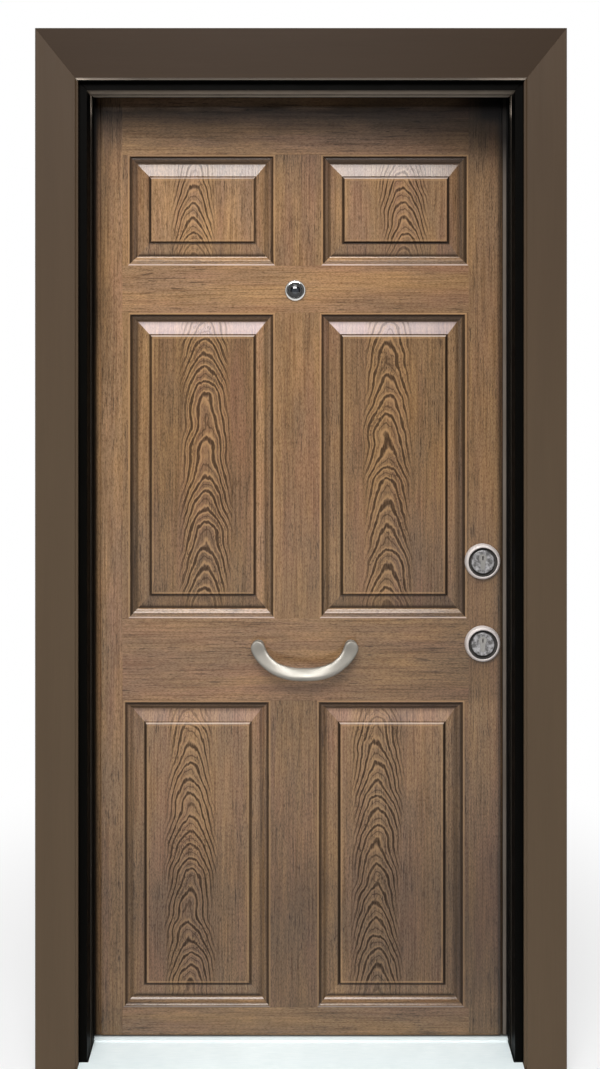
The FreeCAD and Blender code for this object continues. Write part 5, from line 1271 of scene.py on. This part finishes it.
class DOOR_OT_outer_skin(bpy.types.Operator):
    """Outer steel skin with its six pressed panels and the wood-look lacquer"""
    bl_idname = "door.outer_skin"
    bl_label = "Outer skin"

    def execute(self, context):
        piece = new_piece("outer_skin_dressed", skin_mesh())
        sheet = piece.modifiers.new("sheet", "SOLIDIFY")
        sheet.thickness, sheet.offset, sheet.use_even_offset = sizes().sheet, -1.0, False
        settle(freeze(piece), "leaf", "wood_lacquer", "outer_skin", slot="wood_lacquer")
        if abs(min(v.co.y for v in piece.data.vertices) - LEAF_LOW.y) > 0.5 * MM:
            raise RuntimeError("the outer skin left its place")
        return {"FINISHED"}


class DOOR_OT_leaf(bpy.types.Operator):
    """Inner skin, folded edges and channels of the leaf, and its bottom seal"""
    bl_idname = "door.leaf"
    bl_label = "Leaf body"

    def execute(self, context):
        for node, radius, direction, board in (
                ("leaf_hinge_edge", 0.0011, "UP", 0.92), ("leaf_lock_edge", 0.0011, "UP", 0.31),
                ("leaf_top_channel", 0.0008, "LEVEL", 0.55), ("leaf_bottom_channel", 0.0008, "LEVEL", 0.62),
                ("inner_skin", 0.0006, "UP", 0.74)):
            dressed(node, "wood_lacquer", radius, grain=direction, board=board)
        dressed("bottom_seal", "rubber", 0.0008)
        return {"FINISHED"}


class DOOR_OT_filling(bpy.types.Operator):
    """Stiffeners and insulation inside the leaf"""
    bl_idname = "door.filling"
    bl_label = "Leaf filling"

    def execute(self, context):
        for place in ("left", "right"):
            dressed("leaf_stiffener_" + place, "zinc_steel")
        for place in ("left", "middle", "right"):
            dressed("insulation_" + place, "foam", 0.0015)
        return {"FINISHED"}


class DOOR_OT_frame(bpy.types.Operator):
    """Black steel frame, its gasket, wall lugs and strike plates"""
    bl_idname = "door.frame"
    bl_label = "Frame"

    def execute(self, context):
        stop, soffit = abs(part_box("frame_hinge_jamb")[1].x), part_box("frame_head")[0].z + 0.001
        front = -0.005
        for node in ("frame_hinge_jamb", "frame_lock_jamb"):
            # painted highlight on the stops' inner returns
            second_finish(dressed(node, "frame_black", 0.0012), "rubbed_edge",
                          lambda c, n: abs(n.x) > 0.5 and abs(abs(c.x) - stop) < 0.0026 and c.y < front)
        # painted highlight on the head's underside
        second_finish(dressed("frame_head", "frame_black", 0.0012), "rubbed_edge",
                      lambda c, n: n.z < -0.8 and abs(c.z - soffit) < 0.0025 and c.y < front)
        dressed("frame_gasket", "rubber", 0.0016, segments=3)
        for node, radius in (("wall_lugs", 0.0004), ("upper_strike_plate", 0.0003), ("main_strike_plate", 0.0003)):
            dressed(node, "zinc_steel", radius)
        refinish("zinc_steel", "strike_screws")
        return {"FINISHED"}


class DOOR_OT_casing(bpy.types.Operator):
    """Brown casing boards, mitred at the top corners"""
    bl_idname = "door.casing"
    bl_label = "Casing"

    def execute(self, context):
        *_, head = (
            dressed("casing_" + place, "wood_casing", 0.0012, segments=3, grain=direction, board=board)
            for place, direction, board in (("left", "UP", 0.4), ("right", "UP", 0.8), ("head", "LEVEL", 0.05)))
        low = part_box("casing_head")[0].z
        lip, step = low + 0.0025, low + 0.0065
        # painted highlight on the lip of the casing head
        second_finish(head, "rubbed_edge", lambda c, n: n.z < -0.3 and lip < c.z < step)
        second_finish(head, "frame_black", lambda c, n: n.z < 0.3 and c.z <= lip)
        return {"FINISHED"}


class DOOR_OT_sill(bpy.types.Operator):
    """Bright steel sill"""
    bl_idname = "door.sill"
    bl_label = "Sill"

    def execute(self, context):
        dressed("threshold", "sill_steel", 0.0009, segments=3)
        return {"FINISHED"}


class DOOR_OT_hinges(bpy.types.Operator):
    """Three hinges: plates, knuckles and pins"""
    bl_idname = "door.hinges"
    bl_label = "Hinges"

    def execute(self, context):
        for place in ("bottom", "middle", "top"):
            for half in ("frame", "leaf"):
                dressed("hinge_%s_plate_%s" % (half, place), "hinge_paint", 0.0005)
        dressed("hinge_pins", "zinc_steel", 0.0008, angle=40)
        return {"FINISHED"}


class DOOR_OT_pull_handle(bpy.types.Operator):
    """Cast bow handle, smoothed as one casting, with its backing plate and screws"""
    bl_idname = "door.pull_handle"
    bl_label = "Pull handle"

    def execute(self, context):
        bottom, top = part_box("pull_handle")
        foot = 0.0012                                       # what is this near the door's face lies flat on it
        piece = new_piece("pull_handle_dressed", bow_mesh(bottom.x + 0.013, top.x - 0.010, top.z - 0.012, top.y))
        solid = piece.modifiers.new("one casting", "REMESH")
        solid.mode, solid.voxel_size = "VOXEL", 0.0011
        flow = piece.modifiers.new("flow", "SMOOTH")
        flow.factor, flow.iterations = 0.5, 5
        freeze(piece)
        for vert in piece.data.vertices:
            if top.y - vert.co.y < foot:
                vert.co.y = top.y
        piece.data.shade_smooth()
        settle(piece, "leaf", "satin_nickel", "pull_handle", slot="satin_nickel")
        dressed("handle_backing_plate", "zinc_steel", 0.0004)
        refinish("zinc_steel", "pull_handle_screws")
        return {"FINISHED"}


def outer_rosette(node):
    """Turned ring round a lock's outside disc, with a dark groove along its inner edge."""
    bottom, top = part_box(node)
    x, z, outer = (bottom.x + top.x) / 2, (bottom.z + top.z) / 2, (top.x - bottom.x) / 2
    hole, back, edge = 0.0215, top.y - 0.0035, 0.0011
    outline = [(hole, top.y), (outer, top.y), (outer, back), (outer - 0.0020, bottom.y + 0.0022),
               (outer - 0.0050, bottom.y), (outer - 0.0072, bottom.y + 0.0006), (outer - 0.0078, back),
               (hole, top.y - 0.0030)]
    name = node + "_dressed"
    ring = new_piece(name, turned_ring(name, rounded(outline, edge), (x, z)))
    settle(ring, "leaf", "satin_ring", node, slot="satin_nickel")
    second_finish(ring, "dark_groove",
                  lambda c, n: math.hypot(c.x - x, c.z - z) < outer - 0.0070 and c.y > bottom.y + 0.0008)


class DOOR_OT_locks(bpy.types.Operator):
    """Both locks: cases, bolts, latch, cylinders, rosettes and thumbturns"""
    bl_idname = "door.locks"
    bl_label = "Locks"

    def execute(self, context):
        for place in ("upper_", "main_"):
            dressed(place + "lock_case", "zinc_steel", 0.0003)
            dressed(place + "lock_bolts", "zinc_steel", 0.0007)
            outer_rosette(place + "outer_rosette")
            refinish("disc_metal", place + "rosette_disc")
            refinish("satin_nickel", place + "inner_rosette")
            refinish("cylinder_brass", place + "lock_cylinder", place + "key_plug")
            dressed(place + "thumbturn", "satin_nickel", 0.0012, segments=3)
        dressed("latch", "zinc_steel", 0.0007)
        pressed_spring("latch_spring", "zinc_steel")
        refinish("zinc_steel", "latch_follower")
        return {"FINISHED"}


class DOOR_OT_lever(bpy.types.Operator):
    """Inside lever with its rosette and spindle"""
    bl_idname = "door.lever"
    bl_label = "Inside lever"

    def execute(self, context):
        refinish("satin_nickel", "inside_lever", "lever_rosette")
        refinish("zinc_steel", "lever_spindle")
        return {"FINISHED"}


class DOOR_OT_viewer(bpy.types.Operator):
    """Door viewer: polished bezel, lens and inside ring"""
    bl_idname = "door.viewer"
    bl_label = "Viewer"

    def execute(self, context):
        refinish("polished_nickel", "viewer_barrel", "viewer_inside_ring")
        refinish("lens_glass", "viewer_lens")
        return {"FINISHED"}


class DOOR_OT_screws(bpy.types.Operator):
    """Screw heads of the hinge plates, the inside rosettes and the lock fronts"""
    bl_idname = "door.screws"
    bl_label = "Screws"

    def execute(self, context):
        head = sizes().screw_head
        inward, sideways = (0, 1, 0), (1, 0, 0)
        on_frame, on_leaf, fronts = [], [], []
        for place in ("bottom", "middle", "top"):
            for half, wanted in (("frame", on_frame), ("leaf", on_leaf)):
                node = "hinge_%s_plate_%s" % (half, place)
                bottom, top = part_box(node)
                fixed = half == "frame"
                face = max(v.co.y for v in NODES[node].data.vertices
                           if (v.co.x < bottom.x + 0.002 if fixed else v.co.x > top.x - 0.002))
                x = bottom.x + 0.010 if fixed else top.x - 0.012
                for z in (bottom.z + 0.014, (bottom.z + top.z) / 2, top.z - 0.014):
                    wanted.append(((x, face + 0.0003, z), inward))
        for node in ("upper_inner_rosette", "main_inner_rosette", "lever_rosette"):
            bottom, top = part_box(node)
            for aside in (-0.0205, 0.0205):
                on_leaf.append((((bottom.x + top.x) / 2 + aside, top.y - 0.0002, (bottom.z + top.z) / 2), inward))
        for node in ("upper_lock_case", "main_lock_case"):
            bottom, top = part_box(node)
            for z in (bottom.z + 0.007, top.z - 0.007):
                fronts.append(((top.x - 0.0003, (bottom.y + top.y) / 2, z), sideways))
        screws("hinge_screws_frame", "frame", on_frame, head, 3)
        screws("leaf_screws", "leaf", on_leaf, head * 0.9, 5)
        screws("lock_front_screws", "leaf", fronts, head * 0.85, 11)
        return {"FINISHED"}


class DOOR_PT_parts(bpy.types.Panel):
    """Buttons and settings of the door"""
    bl_label = "Entrance door"
    bl_idname = "DOOR_PT_parts"
    bl_space_type = "VIEW_3D"
    bl_region_type = "UI"
    bl_category = "Door"

    def draw(self, context):
        for group in (sizes(), colours()):
            box = self.layout.box()
            for key in group.__annotations__:
                box.prop(group, key)
        for operator in STEPS:
            self.layout.operator(operator.bl_idname)


STEPS = (DOOR_OT_stage, DOOR_OT_outer_skin, DOOR_OT_leaf, DOOR_OT_filling, DOOR_OT_frame, DOOR_OT_casing,
         DOOR_OT_sill, DOOR_OT_hinges, DOOR_OT_pull_handle, DOOR_OT_locks, DOOR_OT_lever, DOOR_OT_viewer,
         DOOR_OT_screws)
CLASSES = (DoorSizes, DoorColours) + STEPS + (DOOR_PT_parts,)


def register():
    for item in CLASSES:
        bpy.utils.register_class(item)
    bpy.types.Scene.door_sizes = bpy.props.PointerProperty(type=DoorSizes)
    bpy.types.Scene.door_colours = bpy.props.PointerProperty(type=DoorColours)


def unregister():
    del bpy.types.Scene.door_colours
    del bpy.types.Scene.door_sizes
    for item in reversed(CLASSES):
        bpy.utils.unregister_class(item)


def main():
    register()
    for step in STEPS:
        family, action = step.bl_idname.split(".")
        getattr(getattr(bpy.ops, family), action)()


if __name__ == "__main__":
    main()
